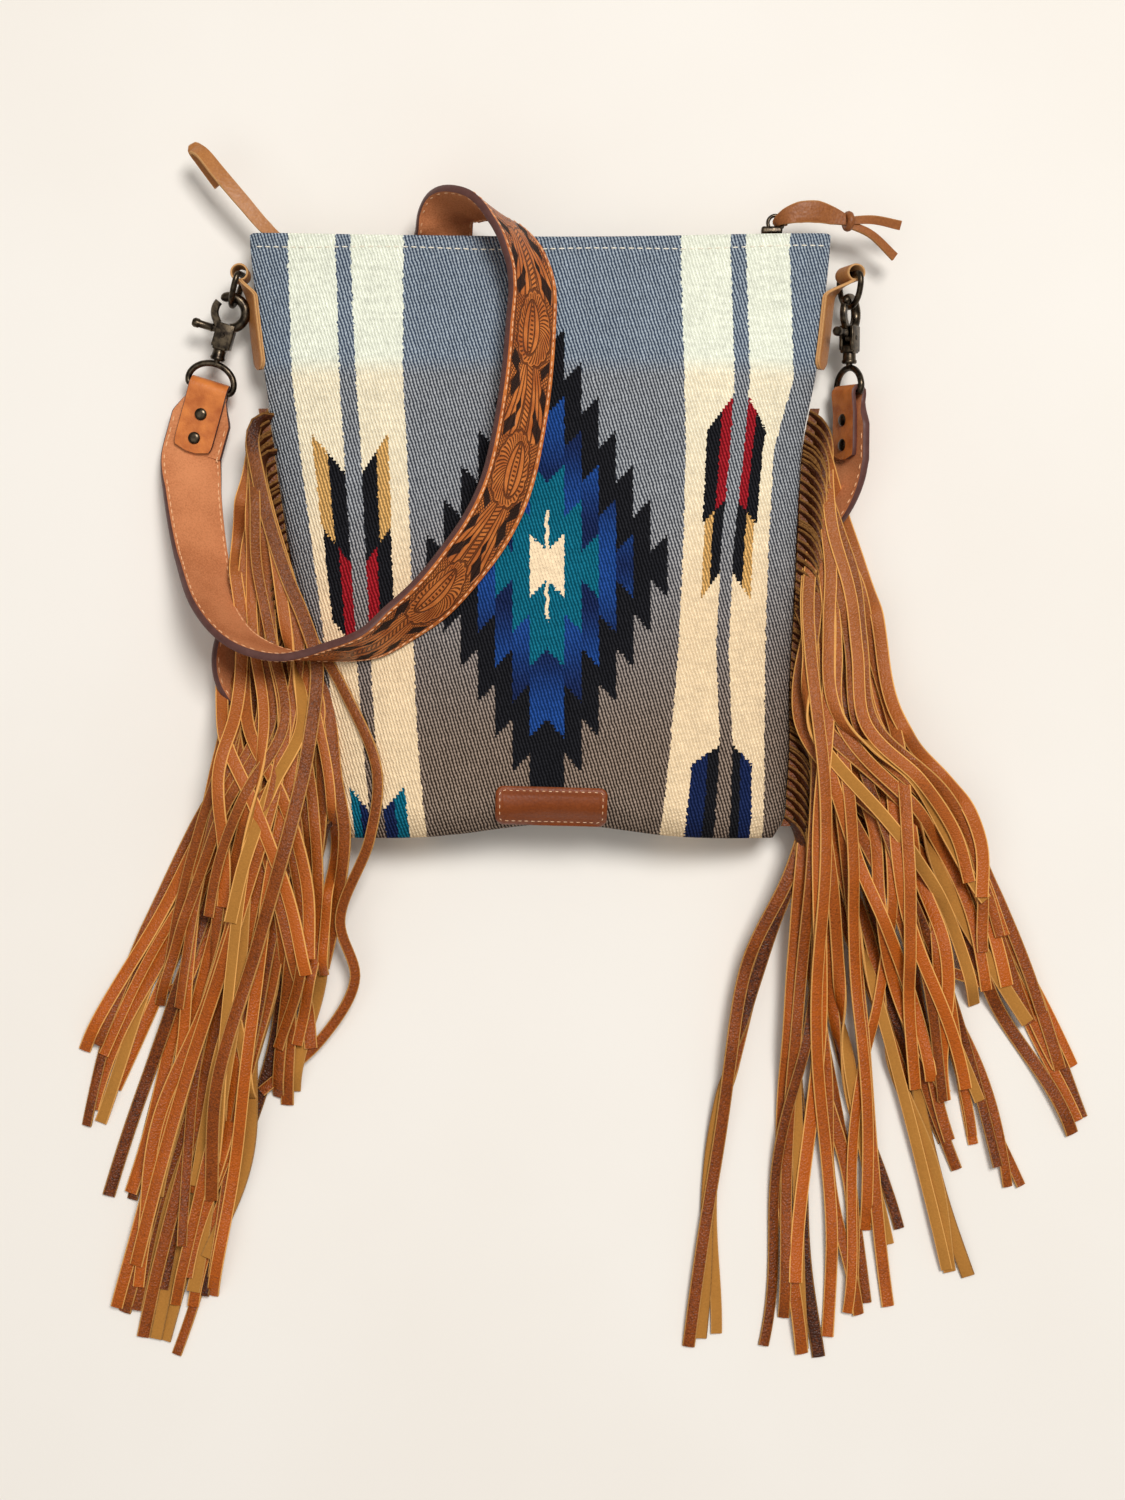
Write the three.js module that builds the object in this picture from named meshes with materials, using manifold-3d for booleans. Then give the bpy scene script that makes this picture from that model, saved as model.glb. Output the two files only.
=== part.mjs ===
// Woven crossbody bag with a tooled leather strap and long leather side fringe, lying on its back.
// Millimetres. +X is the bag's right seen from its front, +Y its mouth, +Z up from the table.

import * as THREE from "three";
import { mergeVertices } from "three/addons/utils/BufferGeometryUtils.js";
import Module from "manifold-3d";

const wasm = await Module();
wasm.setup();

// Driving dimensions
const WALL = 3;                  // woven cloth with its backing
const GAP = 0.35;                // air between neighbouring pieces
const STRAP_WIDTH = 32;
const STRAP_THICK = 4;           // two layers of leather
const TONGUE_WIDTH = 21;
const TONGUE_THICK = 2.4;
const LOCK_WIDTH = 13;           // one lock stands for two or three cut strips
const LOCK_THICK = 2.6;
const BACKING_WIDTH = 9;
const SEAM_GAP = 0.9;            // fringe backing to the cloth
const BACKING_THICK = 3;
const TAB_WIDTH = 12.4;
const RING_WIRE = 1.6;           // radius
const HOOK_WIRE = 2.6;           // radius
const EYE_WIRE = 1.7;            // radius
const PIVOT = new THREE.Vector3(0, -33, 0);
const SECTION_POINTS = 26;
const JOIN_TOLERANCE = 0.45;

// Woven body, one row for each level from the base to the mouth
const BODY_SECTIONS = [
  { y: -158, half: 111, centre: 8.5, back: 5, seam: 28, front: 49, round: 0.42 },
  { y: -151, half: 115, centre: 8.5, back: 1, seam: 29, front: 57, round: 0.42 },
  { y: -133, half: 118.5, centre: 7.5, back: 0, seam: 29, front: 61, round: 0.45 },
  { y: -110, half: 121.5, centre: 6, back: 0, seam: 29, front: 62, round: 0.48 },
  { y: -90, half: 123.5, centre: 4, back: 5.2, seam: 29, front: 61.7, round: 0.49 },
  { y: -71, half: 125.5, centre: 2.5, back: 5.8, seam: 29.5, front: 61, round: 0.51 },
  { y: -38, half: 129.5, centre: 0.5, back: 6.2, seam: 29.5, front: 59, round: 0.54 },
  { y: 11, half: 134.5, centre: -2, back: 7.5, seam: 29, front: 55.5, round: 0.57 },
  { y: 49, half: 138.5, centre: -3.5, back: 10, seam: 28.5, front: 51, round: 0.6 },
  { y: 84, half: 144.5, centre: -2.5, back: 13, seam: 28, front: 46.5, round: 0.62 },
  { y: 125, half: 149.5, centre: -2.5, back: 17, seam: 28, front: 41, round: 0.6 },
  { y: 150, half: 152, centre: -2.5, back: 19, seam: 28, front: 38.4, round: 0.56 },
  { y: 158, half: 152.5, centre: -2.5, back: 19.5, seam: 28, front: 38, round: 0.56 },
];
const BASE_Y = -158;
const TOP_Y = 158;
const BASE_ARCH = { rise: 9, centre: 6, spread: 50, reach: 46 };
const MOUTH_SAG = { drop: 3.5, reach: 45 };
const BACK_FLATNESS = 1.12;

// Strap centre line from the left hook to the right hook, and the lean of its width in degrees
const STRAP_ROUTE = [
  { x: -187.5, y: 26, z: 14, lean: 150 },
  { x: -181, y: -11.5, z: 23, lean: 137 },
  { x: -171, y: -39, z: 42, lean: 118 },
  { x: -155, y: -56, z: 53.5, lean: 107 },
  { x: -133, y: -64, z: 58, lean: 97 },
  { x: -109.5, y: -63, z: 64, lean: 82 },
  { x: -88.5, y: -58.5, z: 71, lean: 68 },
  { x: -74, y: -48.5, z: 71.5, lean: 57 },
  { x: -57, y: -35, z: 71.5, lean: 48 },
  { x: -41.5, y: -17, z: 70.5, lean: 44 },
  { x: -29, y: 1, z: 69.5, lean: 42 },
  { x: -19, y: 23.5, z: 67.5, lean: 41 },
  { x: -10.5, y: 66, z: 62.5, lean: 41 },
  { x: -7, y: 104, z: 57.5, lean: 42 },
  { x: -6.5, y: 128, z: 55.2, lean: 46 },
  { x: -11.5, y: 145, z: 54.6, lean: 54 },
  { x: -20.5, y: 159, z: 51.5, lean: 68 },
  { x: -33.5, y: 170, z: 44, lean: 90 },
  { x: -45.5, y: 172.5, z: 34, lean: 114 },
  { x: -52, y: 169, z: 22, lean: 140 },
  { x: -55, y: 158, z: 11, lean: 160 },
  { x: -62, y: 136, z: 5.5, lean: 171 },
  { x: -73, y: 102, z: 2.6, lean: 180 },
  { x: -92, y: 54, z: 2.6, lean: 180 },
  { x: -116, y: 6, z: 3, lean: 178 },
  { x: -133, y: -24, z: 6.6, lean: 166 },
  { x: -150, y: -41, z: 9.8, lean: 154 },
  { x: -163, y: -57, z: 14.6, lean: 129 },
  { x: -161.5, y: -76, z: 14.2, lean: 131 },
  { x: -144, y: -87, z: 9.4, lean: 156 },
  { x: -120, y: -80, z: 4.8, lean: 172 },
  { x: -88, y: -67, z: 2.7, lean: 180 },
  { x: -13.5, y: -42, z: 2.6, lean: 180 },
  { x: 61.5, y: -17, z: 2.6, lean: 180 },
  { x: 112, y: 0, z: 3, lean: 178 },
  { x: 136, y: 9, z: 6.8, lean: 165 },
  { x: 151, y: 21, z: 12, lean: 141 },
];
const STRAP_STEP = 22;

// One strap end from the tongue's tip to the full strap, either side of the fold round the eye's bar:
// how far below the bar, and how far in front of it
const TONGUE_ROWS = [
  { down: 34, rise: 2.3, width: 13, thick: TONGUE_THICK },
  { down: 31, rise: 2.3, width: TONGUE_WIDTH, thick: TONGUE_THICK },
  { down: 20, rise: 2.3, width: TONGUE_WIDTH, thick: TONGUE_THICK },
  { down: 10, rise: 2.3, width: TONGUE_WIDTH, thick: TONGUE_THICK },
  { down: 5, rise: 2.9, width: TONGUE_WIDTH, thick: TONGUE_THICK },
];
const SHOULDER_ROWS = [
  { down: 5, rise: -2.7, width: TONGUE_WIDTH, thick: 2.6 },
  { down: 10, rise: -1.5, width: 26, thick: STRAP_THICK },
  { down: 16, rise: -1.5, width: STRAP_WIDTH, thick: STRAP_THICK },
  { down: 26, rise: -1.5, width: STRAP_WIDTH, thick: STRAP_THICK },
  { down: 36, rise: -1.5, width: STRAP_WIDTH, thick: STRAP_THICK },
];
const RIVET_PLACES = [14, 27];
const RIVET = { shank: 1.5, hole: 1.85, cap: 3.2, capThick: 1.2, foot: 2.8, footThick: 0.9, front: 3.8, behind: -3.8 };

// Fringe, one row for each lock from the top of the seam to its foot: where its end lies
const FRINGE_TOP_Y = 67;
const FRINGE_FOOT_Y = -152;
const LEFT_LOCKS = [
  { x: -168, y: -197, bow: -6, lie: 12 },
  { x: -122, y: -228, bow: 8, lie: 14 },
  { x: -201, y: -246, bow: -7, lie: 9 },
  { x: -133, y: -271, bow: 9, lie: 12 },
  { x: -241, y: -271, bow: -12, lie: 6 },
  { x: -138, y: -301, bow: 8, lie: 10 },
  { x: -170, y: -309, bow: 3, lie: 9 },
  { x: -243, y: -313, bow: -14, lie: 5 },
  { x: -182, y: -344, bow: 2, lie: 8 },
  { x: -224, y: -351, bow: -10, lie: 5 },
  { x: -182, y: -389, bow: 5, lie: 6 },
  { x: -187, y: -407, bow: 4, lie: 5 },
  { x: -220, y: -418, bow: -8, lie: 3 },
  { x: -205, y: -430, bow: -3, lie: 3 },
];
const RIGHT_LOCKS = [
  { x: 229, y: -187, bow: 12, lie: 12 },
  { x: 239, y: -215, bow: 13, lie: 11 },
  { x: 235, y: -246, bow: 11, lie: 9 },
  { x: 260, y: -258, bow: 14, lie: 7 },
  { x: 210, y: -294, bow: 4, lie: 9 },
  { x: 275, y: -283, bow: 15, lie: 5 },
  { x: 225, y: -326, bow: 5, lie: 8 },
  { x: 284, y: -315, bow: 14, lie: 4 },
  { x: 249, y: -343, bow: 8, lie: 5 },
  { x: 182, y: -374, bow: -4, lie: 7 },
  { x: 221, y: -389, bow: 4, lie: 4 },
  { x: 169, y: -413, bow: -5, lie: 5 },
  { x: 141, y: -434, bow: -6, lie: 4 },
  { x: 84, y: -427, bow: -14, lie: 3 },
];
const LOCK_STEPS = 7;
const BACKING_STEPS = 8;
// Lanes in which the locks run together beside the lower half of the bag
const GATHER = {
  y: -98,
  reach: 28,
  high: 27.4,
  low: 24.4,
  "-1": { outer: -150, inner: -127 },
  1: { outer: 180, inner: 141 },
};

// Where each side's ring hangs, and how its hook lies
const LEFT_HANG = { x: -160, y: 138, z: 26, turn: -17, dip: 8, ringRoll: 0, hookRoll: 0, eyeRoll: 0 };
const RIGHT_HANG = { x: 160.5, y: 138, z: 26, turn: 0, dip: 5.2, ringRoll: 27, hookRoll: 60, eyeRoll: -66 };
const RING = { half: 10, straight: 3, depth: 17 };
const EYE = { half: 12.5, top: -48.6, bar: -62 };
const HOOK = { centreY: -20.6, radius: 8.2, bodyTop: -26, bodyFoot: -41, collarFoot: -46.5 };

const FINISH = {
  cloth: { color: 0x8b8a86, roughness: 0.95, metalness: 0 },
  strap: { color: 0x9a5a30, roughness: 0.55, metalness: 0 },
  fringe: { color: 0xb5702f, roughness: 0.7, metalness: 0 },
  trim: { color: 0x6d3d22, roughness: 0.6, metalness: 0 },
  patch: { color: 0xc08a50, roughness: 0.6, metalness: 0 },
  metal: { color: 0x3c352d, roughness: 0.4, metalness: 1 },
  zip: { color: 0x4a3a2e, roughness: 0.8, metalness: 0 },
};

// Solids

function material(finish) {
  return new THREE.MeshStandardMaterial(FINISH[finish]);
}

function piece(name, geometry, finish) {
  const mesh = new THREE.Mesh(geometry, material(finish));
  mesh.name = name;
  return mesh;
}

function toManifold(geometry) {
  const bare = geometry.clone();
  bare.deleteAttribute("normal");
  bare.deleteAttribute("uv");
  const merged = mergeVertices(bare, 1e-4);
  const vertProperties = new Float32Array(merged.attributes.position.array);
  const triVerts = new Uint32Array(merged.index.array);
  return new wasm.Manifold(new wasm.Mesh({ numProp: 3, vertProperties, triVerts }));
}

function fromManifold(manifold) {
  const mesh = manifold.getMesh();
  const geometry = new THREE.BufferGeometry();
  geometry.setAttribute("position", new THREE.BufferAttribute(new Float32Array(mesh.vertProperties), 3));
  geometry.setIndex(Array.from(mesh.triVerts));
  return geometry;
}

function join(...geometries) {
  return fromManifold(wasm.Manifold.union(geometries.map(toManifold)));
}

// Joined bodies with the pockets closed in between them filled up
function joinFilled(...geometries) {
  const shells = wasm.Manifold.union(geometries.map(toManifold)).simplify(JOIN_TOLERANCE).decompose();
  shells.sort((a, b) => b.volume() - a.volume());
  return fromManifold(shells[0]);
}

function cut(base, ...tools) {
  const tool = wasm.Manifold.union(tools.map(toManifold));
  return fromManifold(toManifold(base).subtract(tool));
}

function signedVolume(points, triangles) {
  let total = 0;
  for (const [a, b, c] of triangles) {
    total += points[a].dot(new THREE.Vector3().crossVectors(points[b], points[c]));
  }
  return total / 6;
}

// Skin over rings of equal count; each end is closed straight across, or the last meets the first
function loft(rings, closed = false) {
  const count = rings[0].length;
  const points = rings.flat();
  const triangles = [];
  const spans = closed ? rings.length : rings.length - 1;
  for (let i = 0; i < spans; i += 1) {
    const low = i * count;
    const high = ((i + 1) % rings.length) * count;
    for (let j = 0; j < count; j += 1) {
      const next = (j + 1) % count;
      triangles.push([low + j, low + next, high + next]);
      triangles.push([low + j, high + next, high + j]);
    }
  }
  if (!closed) {
    const end = (rings.length - 1) * count;
    for (let j = 0; j < count / 2; j += 1) {
      const mirror = (count - j) % count;
      const across = count - j - 1;
      if (j > 0) {
        triangles.push([j, mirror, across]);
        triangles.push([end + j, end + across, end + mirror]);
      }
      if (across > j + 1) {
        triangles.push([j, across, j + 1]);
        triangles.push([end + j, end + j + 1, end + across]);
      }
    }
  }
  const flip = signedVolume(points, triangles) < 0;
  const index = triangles.flatMap(([a, b, c]) => (flip ? [a, c, b] : [a, b, c]));
  const geometry = new THREE.BufferGeometry();
  geometry.setAttribute("position", new THREE.Float32BufferAttribute(points.flatMap((p) => p.toArray()), 3));
  geometry.setIndex(index);
  return geometry;
}

// Four corners of a band's cross-section
function bandRing(centre, across, normal, width, thick) {
  const w = across.clone().multiplyScalar(width / 2);
  const n = normal.clone().multiplyScalar(thick / 2);
  return [
    centre.clone().add(w).add(n),
    centre.clone().sub(w).add(n),
    centre.clone().sub(w).sub(n),
    centre.clone().add(w).sub(n),
  ];
}

// Round wire along points that lie in one plane
function wire(points, planeNormal, radius, sides, closed) {
  const last = points.length - 1;
  const rings = points.map((point, i) => {
    const before = points[i > 0 ? i - 1 : closed ? last : 0];
    const after = points[i < last ? i + 1 : closed ? 0 : last];
    const along = after.clone().sub(before).normalize();
    const side = new THREE.Vector3().crossVectors(along, planeNormal).normalize();
    return Array.from({ length: sides }, (_, k) => {
      const turn = (2 * Math.PI * (k + 0.5)) / sides;
      return point.clone()
        .addScaledVector(side, radius * Math.cos(turn))
        .addScaledVector(planeNormal, radius * Math.sin(turn));
    });
  });
  return loft(rings, closed);
}

function smooth(value) {
  const t = THREE.MathUtils.clamp(value, 0, 1);
  return t * t * (3 - 2 * t);
}

function degrees(value) {
  return THREE.MathUtils.degToRad(value);
}

// Woven body

const SECTION_COLUMNS = ["half", "centre", "back", "seam", "front", "round"];
const sectionTable = new THREE.CubicInterpolant(
  BODY_SECTIONS.map((row) => row.y),
  BODY_SECTIONS.flatMap((row) => SECTION_COLUMNS.map((column) => row[column])),
  SECTION_COLUMNS.length,
  new Float64Array(SECTION_COLUMNS.length),
);

function sectionAt(y) {
  const values = sectionTable.evaluate(THREE.MathUtils.clamp(y, BASE_Y, TOP_Y));
  const section = Object.fromEntries(SECTION_COLUMNS.map((column, k) => [column, values[k]]));
  section.back = Math.max(section.back, 0);
  return section;
}

// Level change of a line of cloth: the base arches up in its middle and the mouth sags
function drift(x, y) {
  const offset = (x - BASE_ARCH.centre) / BASE_ARCH.spread;
  const arch = BASE_ARCH.rise * Math.exp(-offset * offset) * smooth(1 - (y - BASE_Y) / BASE_ARCH.reach);
  const span = x / BODY_SECTIONS[BODY_SECTIONS.length - 1].half;
  const sag = MOUTH_SAG.drop * Math.max(0, 1 - span * span) * smooth(1 - (TOP_Y - y) / MOUTH_SAG.reach);
  return arch - sag;
}

function frontHeight(section, share) {
  const fall = Math.pow(Math.max(0, 1 - Math.pow(Math.abs(share), 2.6)), section.round);
  return section.seam + (section.front - section.seam) * fall;
}

function backHeight(section, share) {
  const fall = Math.pow(Math.max(0, 1 - Math.pow(Math.abs(share), 4)), section.round);
  return section.seam - (section.seam - section.back) * Math.min(1, BACK_FLATNESS * fall);
}

function bodyRing(level, inset) {
  const section = sectionAt(level);
  section.half -= inset;
  section.front -= inset;
  section.back += inset;
  const y = inset > 0 && level === BASE_Y ? level + inset : level;
  return Array.from({ length: SECTION_POINTS }, (_, k) => {
    const angle = (2 * Math.PI * k) / SECTION_POINTS;
    const share = Math.cos(angle);
    const x = section.centre + section.half * share;
    const edge = k === 0 || 2 * k === SECTION_POINTS;
    const rise = 2 * k < SECTION_POINTS ? frontHeight(section, share) : backHeight(section, share);
    return new THREE.Vector3(x, y + drift(x, y), edge ? section.seam : rise);
  });
}

function wovenBody() {
  const levels = BODY_SECTIONS.map((row) => row.y);
  const between = levels.slice(1).map((y, i) => (y + levels[i]) / 2).filter((y) => y > BASE_Y + 8 && y < TOP_Y - 8);
  const all = [...levels, ...between].sort((a, b) => a - b);
  const outside = all.map((y) => bodyRing(y, 0));
  const inside = [...levels].reverse().map((y) => bodyRing(y, WALL));
  return loft([...outside, ...inside]);
}

// Mouth: two leather facings, the zip between them, its slider, thong and loose end

const ZIP_HALF = 132;
const ZIP_STEPS = 12;
const FACING = { low: 138, high: 159.5, thick: 1.6 };
const ZIP_TAPE = { low: 153.9, high: 155.4 };
const ZIP_CHAIN = { low: 155.75, high: 158, width: 2.6 };

// Bar that runs across the mouth; low and high give its limits at each place along X
function mouthBar(half, limits) {
  const rings = [];
  for (let i = 0; i <= ZIP_STEPS; i += 1) {
    const x = -2.5 - half + (2 * half * i) / ZIP_STEPS;
    const { y0, y1, z0, z1 } = limits(x);
    rings.push([
      new THREE.Vector3(x, y0, z0),
      new THREE.Vector3(x, y1, z0),
      new THREE.Vector3(x, y1, z1),
      new THREE.Vector3(x, y0, z1),
    ]);
  }
  return loft(rings);
}

function mouthInside(x) {
  const section = sectionAt(TOP_Y);
  const share = (x - section.centre) / (section.half - WALL - 1.5);
  section.front -= WALL;
  section.back += WALL;
  return { front: frontHeight(section, share) - GAP, back: backHeight(section, share) + GAP };
}

function facing(side) {
  return mouthBar(ZIP_HALF, (x) => {
    const inside = mouthInside(x);
    const z0 = side === "front" ? inside.front - FACING.thick : inside.back;
    const sag = drift(x, TOP_Y);
    return { y0: FACING.low + sag, y1: FACING.high + sag, z0, z1: z0 + FACING.thick };
  });
}

function zipTape() {
  return mouthBar(ZIP_HALF - 2, (x) => {
    const inside = mouthInside(x);
    const sag = drift(x, TOP_Y);
    return {
      y0: ZIP_TAPE.low + sag,
      y1: ZIP_TAPE.high + sag,
      z0: inside.back + FACING.thick + GAP,
      z1: inside.front - FACING.thick - GAP,
    };
  });
}

function zipMiddle(x) {
  const inside = mouthInside(x);
  return (inside.front + inside.back) / 2;
}

function zipChain() {
  return mouthBar(ZIP_HALF - 3, (x) => {
    const middle = zipMiddle(x);
    const sag = drift(x, TOP_Y);
    const y0 = ZIP_CHAIN.low + sag;
    const y1 = ZIP_CHAIN.high + sag;
    return { y0, y1, z0: middle - ZIP_CHAIN.width / 2, z1: middle + ZIP_CHAIN.width / 2 };
  });
}

const SLIDER = { x: 119, length: 11, high: 4, thick: 6, neck: 1.8, bail: 4 };

function zipSlider() {
  const sag = drift(SLIDER.x, TOP_Y);
  const foot = ZIP_CHAIN.high + sag + GAP;
  const low = FACING.high + sag + GAP;
  const body = new THREE.BoxGeometry(SLIDER.length, SLIDER.high, SLIDER.thick);
  body.translate(SLIDER.x, low + SLIDER.high / 2, zipMiddle(SLIDER.x));
  const neck = new THREE.BoxGeometry(SLIDER.length - 2, low + 1 - foot, SLIDER.neck);
  neck.translate(SLIDER.x, (low + 1 + foot) / 2, zipMiddle(SLIDER.x));
  const bail = new THREE.TorusGeometry(SLIDER.bail, 1, 6, 14);
  bail.translate(SLIDER.x + 2, low + SLIDER.high + 2, zipMiddle(SLIDER.x));
  return join(body, neck, bail);
}

// Leather band along points; each row gives its centre, width and the tilt of its width from level
function band(rows, thick, steps) {
  const path = new THREE.CatmullRomCurve3(rows.map((row) => new THREE.Vector3(row.x, row.y, row.z)), false, "centripetal");
  const rings = [];
  for (let i = 0; i <= steps; i += 1) {
    const t = i / steps;
    const along = path.getTangent(t);
    const level = new THREE.Vector3(-along.y, along.x, 0).normalize();
    const up = new THREE.Vector3().crossVectors(along, level);
    const place = t * (rows.length - 1);
    const row = Math.min(Math.floor(place), rows.length - 2);
    const share = place - row;
    const tilt = degrees(THREE.MathUtils.lerp(rows[row].tilt, rows[row + 1].tilt, share));
    const width = THREE.MathUtils.lerp(rows[row].width, rows[row + 1].width, share);
    const across = level.clone().multiplyScalar(Math.cos(tilt)).addScaledVector(up, Math.sin(tilt));
    const normal = new THREE.Vector3().crossVectors(along, across);
    rings.push(bandRing(path.getPoint(t), across, normal, width, thick));
  }
  return loft(rings);
}

const THONG_BAND = [
  { x: 127, y: 165.8, z: 23, width: 3.2, tilt: 0 },
  { x: 121.2, y: 164.7, z: 27.9, width: 3.2, tilt: 0 },
  { x: 125.5, y: 166.5, z: 33.5, width: 8, tilt: 0 },
  { x: 133, y: 168.5, z: 35, width: 11, tilt: 10 },
  { x: 142, y: 169, z: 34, width: 11.5, tilt: 10 },
  { x: 151, y: 167.5, z: 31, width: 9, tilt: 5 },
  { x: 159, y: 165.5, z: 29, width: 5, tilt: 0 },
];
const THONG_TAILS = [
  [
    { x: 158, y: 165.5, z: 29, width: 4, tilt: 10 },
    { x: 172, y: 166, z: 29, width: 4.5, tilt: 25 },
    { x: 187, y: 164, z: 25, width: 5, tilt: 20 },
  ],
  [
    { x: 158, y: 164.5, z: 28, width: 4, tilt: -10 },
    { x: 171, y: 159, z: 27, width: 4.5, tilt: -20 },
    { x: 184.5, y: 148, z: 22, width: 5, tilt: -15 },
  ],
];
const KNOT = { x: 159, y: 165.2, z: 29, radius: 3.4, tube: 2 };

function zipThong() {
  const knot = new THREE.TorusGeometry(KNOT.radius, KNOT.tube, 5, 10);
  knot.rotateY(degrees(70));
  knot.translate(KNOT.x, KNOT.y, KNOT.z);
  return join(band(THONG_BAND, 2, 14), ...THONG_TAILS.map((tail) => band(tail, 1.8, 6)), knot);
}

const ZIP_END = [
  { x: -137.5, y: 155.6, z: 28.3, width: 3, tilt: 0 },
  { x: -146, y: 161.5, z: 28.6, width: 7, tilt: 0 },
  { x: -158, y: 175, z: 30, width: 7.5, tilt: 8 },
  { x: -170, y: 189, z: 31, width: 8, tilt: 20 },
  { x: -180, y: 201, z: 30.5, width: 8, tilt: 32 },
  { x: -184, y: 203.5, z: 27, width: 8, tilt: 30 },
  { x: -180, y: 198, z: 24.4, width: 8, tilt: 24 },
  { x: -171, y: 186, z: 24, width: 8, tilt: 14 },
];

// Patch sewn on the front near the base

const PATCH = { x: 3.5, y: -141, width: 57, height: 20, thick: 2, turn: -1.5, corner: 4, columns: 10, rows: 4 };

function bodyFrontPoint(x, y, lift) {
  const level = y - drift(x, y);
  const section = sectionAt(level);
  const share = (x - section.centre) / section.half;
  return new THREE.Vector3(x, y, frontHeight(section, share) + lift);
}

function leatherPatch() {
  const rings = [];
  for (let i = 0; i <= PATCH.columns; i += 1) {
    const across = -PATCH.width / 2 + (PATCH.width * i) / PATCH.columns;
    const short = Math.max(0, Math.abs(across) - (PATCH.width / 2 - PATCH.corner));
    const trim = PATCH.corner - Math.sqrt(Math.max(0, PATCH.corner ** 2 - short ** 2));
    const half = PATCH.height / 2 - trim;
    const ring = [];
    for (let j = 0; j <= PATCH.rows; j += 1) {
      ring.push([half - (2 * half * j) / PATCH.rows, 0.9]);
    }
    for (let j = PATCH.rows; j >= 0; j -= 1) {
      ring.push([half - (2 * half * j) / PATCH.rows, 0.9 + PATCH.thick]);
    }
    rings.push(ring.map(([along, lift]) => {
      const turn = degrees(PATCH.turn);
      const x = PATCH.x + across * Math.cos(turn) - along * Math.sin(turn);
      const y = PATCH.y + across * Math.sin(turn) + along * Math.cos(turn);
      return bodyFrontPoint(x, y, lift);
    }));
  }
  return loft(rings);
}

// Fringe: a backing along the side seam with the locks growing out of it

function seamPoint(side, y, outward) {
  const section = sectionAt(y);
  return new THREE.Vector3(section.centre + side * (section.half + outward), y + drift(section.half, y), section.seam);
}

function fringeBacking(side) {
  const rings = [];
  for (let i = 0; i <= BACKING_STEPS; i += 1) {
    const y = THREE.MathUtils.lerp(FRINGE_TOP_Y, FRINGE_FOOT_Y, i / BACKING_STEPS);
    const centre = seamPoint(side, y, SEAM_GAP + BACKING_WIDTH / 2);
    const across = new THREE.Vector3(1, 0, 0);
    const normal = new THREE.Vector3(0, 0, 1);
    rings.push(bandRing(centre, across, normal, BACKING_WIDTH, BACKING_THICK));
  }
  return loft(rings);
}

// Centre line of one lock: out of the seam, over its shoulder, down the side, then over the table
function lockPath(side, row, share) {
  const y = THREE.MathUtils.lerp(FRINGE_TOP_Y - 6, FRINGE_FOOT_Y + 6, share);
  const root = seamPoint(side, y, SEAM_GAP + BACKING_WIDTH * 0.75);
  const end = new THREE.Vector3(row.x, row.y, LOCK_THICK / 2 + 0.05);
  const shoulder = root.clone().add(new THREE.Vector3(side * 5.5, -12, 0.6 - share));
  const points = [root, shoulder];
  let start = shoulder;
  if (shoulder.y > GATHER.y + GATHER.reach) {
    const lane = THREE.MathUtils.lerp(GATHER[side].outer, GATHER[side].inner, share);
    const height = THREE.MathUtils.lerp(GATHER.high, GATHER.low, share);
    start = new THREE.Vector3(lane, GATHER.y, height);
    points.push(start);
  }
  for (const t of [0.33, 0.68]) {
    const point = new THREE.Vector3().lerpVectors(start, end, t);
    point.x += row.bow * Math.sin(Math.PI * t);
    point.z = t < 0.5 ? Math.max(row.lie, start.z * 0.45) : row.lie * 0.6;
    point.z = Math.max(point.z, end.z);
    points.push(point);
  }
  points.push(end);
  return new THREE.CatmullRomCurve3(points, false, "centripetal");
}

function lock(path) {
  const rings = [];
  for (let i = 0; i <= LOCK_STEPS; i += 1) {
    const t = i / LOCK_STEPS;
    const along = path.getTangent(t);
    const across = new THREE.Vector3(-along.y, along.x, 0).normalize();
    const normal = new THREE.Vector3().crossVectors(along, across);
    const width = t > 0.9 ? LOCK_WIDTH * 0.85 : LOCK_WIDTH;
    const centre = path.getPoint(t);
    const ring = bandRing(centre, across, normal, width, LOCK_THICK);
    ring.forEach((corner) => { corner.z = Math.max(corner.z, 0); });
    rings.push(ring);
  }
  return loft(rings);
}

function fringe(side, rows) {
  const locks = rows.map((row, i) => lock(lockPath(side, row, i / (rows.length - 1))));
  return joinFilled(fringeBacking(side), ...locks);
}

// Side tab: leather folded round the ring's bar and sewn down along the seam

const TAB = { foot: 88, neck: 125.5, clear: 0.9, leaf: 2.4, hole: 2.9, eye: 5.3 };

function sideTab(side, hang) {
  const rings = [];
  for (const y of [TAB.foot, 100, 112, TAB.neck, 129, 133, 136]) {
    const lift = smooth((y - TAB.neck) / (hang.y - 2 - TAB.neck));
    const seam = seamPoint(side, y, TAB.clear + TAB.leaf / 2);
    const centre = new THREE.Vector3(THREE.MathUtils.lerp(seam.x, hang.x, lift), y, hang.z);
    const roll = degrees(hang.ringRoll * lift);
    const across = new THREE.Vector3(Math.sin(roll), 0, Math.cos(roll));
    const normal = new THREE.Vector3(Math.cos(roll), 0, -Math.sin(roll));
    rings.push(bandRing(centre, across, normal, TAB_WIDTH, TAB.leaf));
  }
  const eye = new THREE.CylinderGeometry(TAB.eye, TAB.eye, TAB_WIDTH, 18);
  const hole = new THREE.CylinderGeometry(TAB.hole, TAB.hole, TAB_WIDTH + 3, 12);
  for (const round of [eye, hole]) {
    round.rotateX(Math.PI / 2);
    round.rotateY(degrees(hang.ringRoll));
    round.translate(hang.x, hang.y, hang.z);
  }
  return cut(join(loft(rings), eye), hole);
}

// Ring, hook, trigger and swivel eye hang from the origin along -Y

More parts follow.
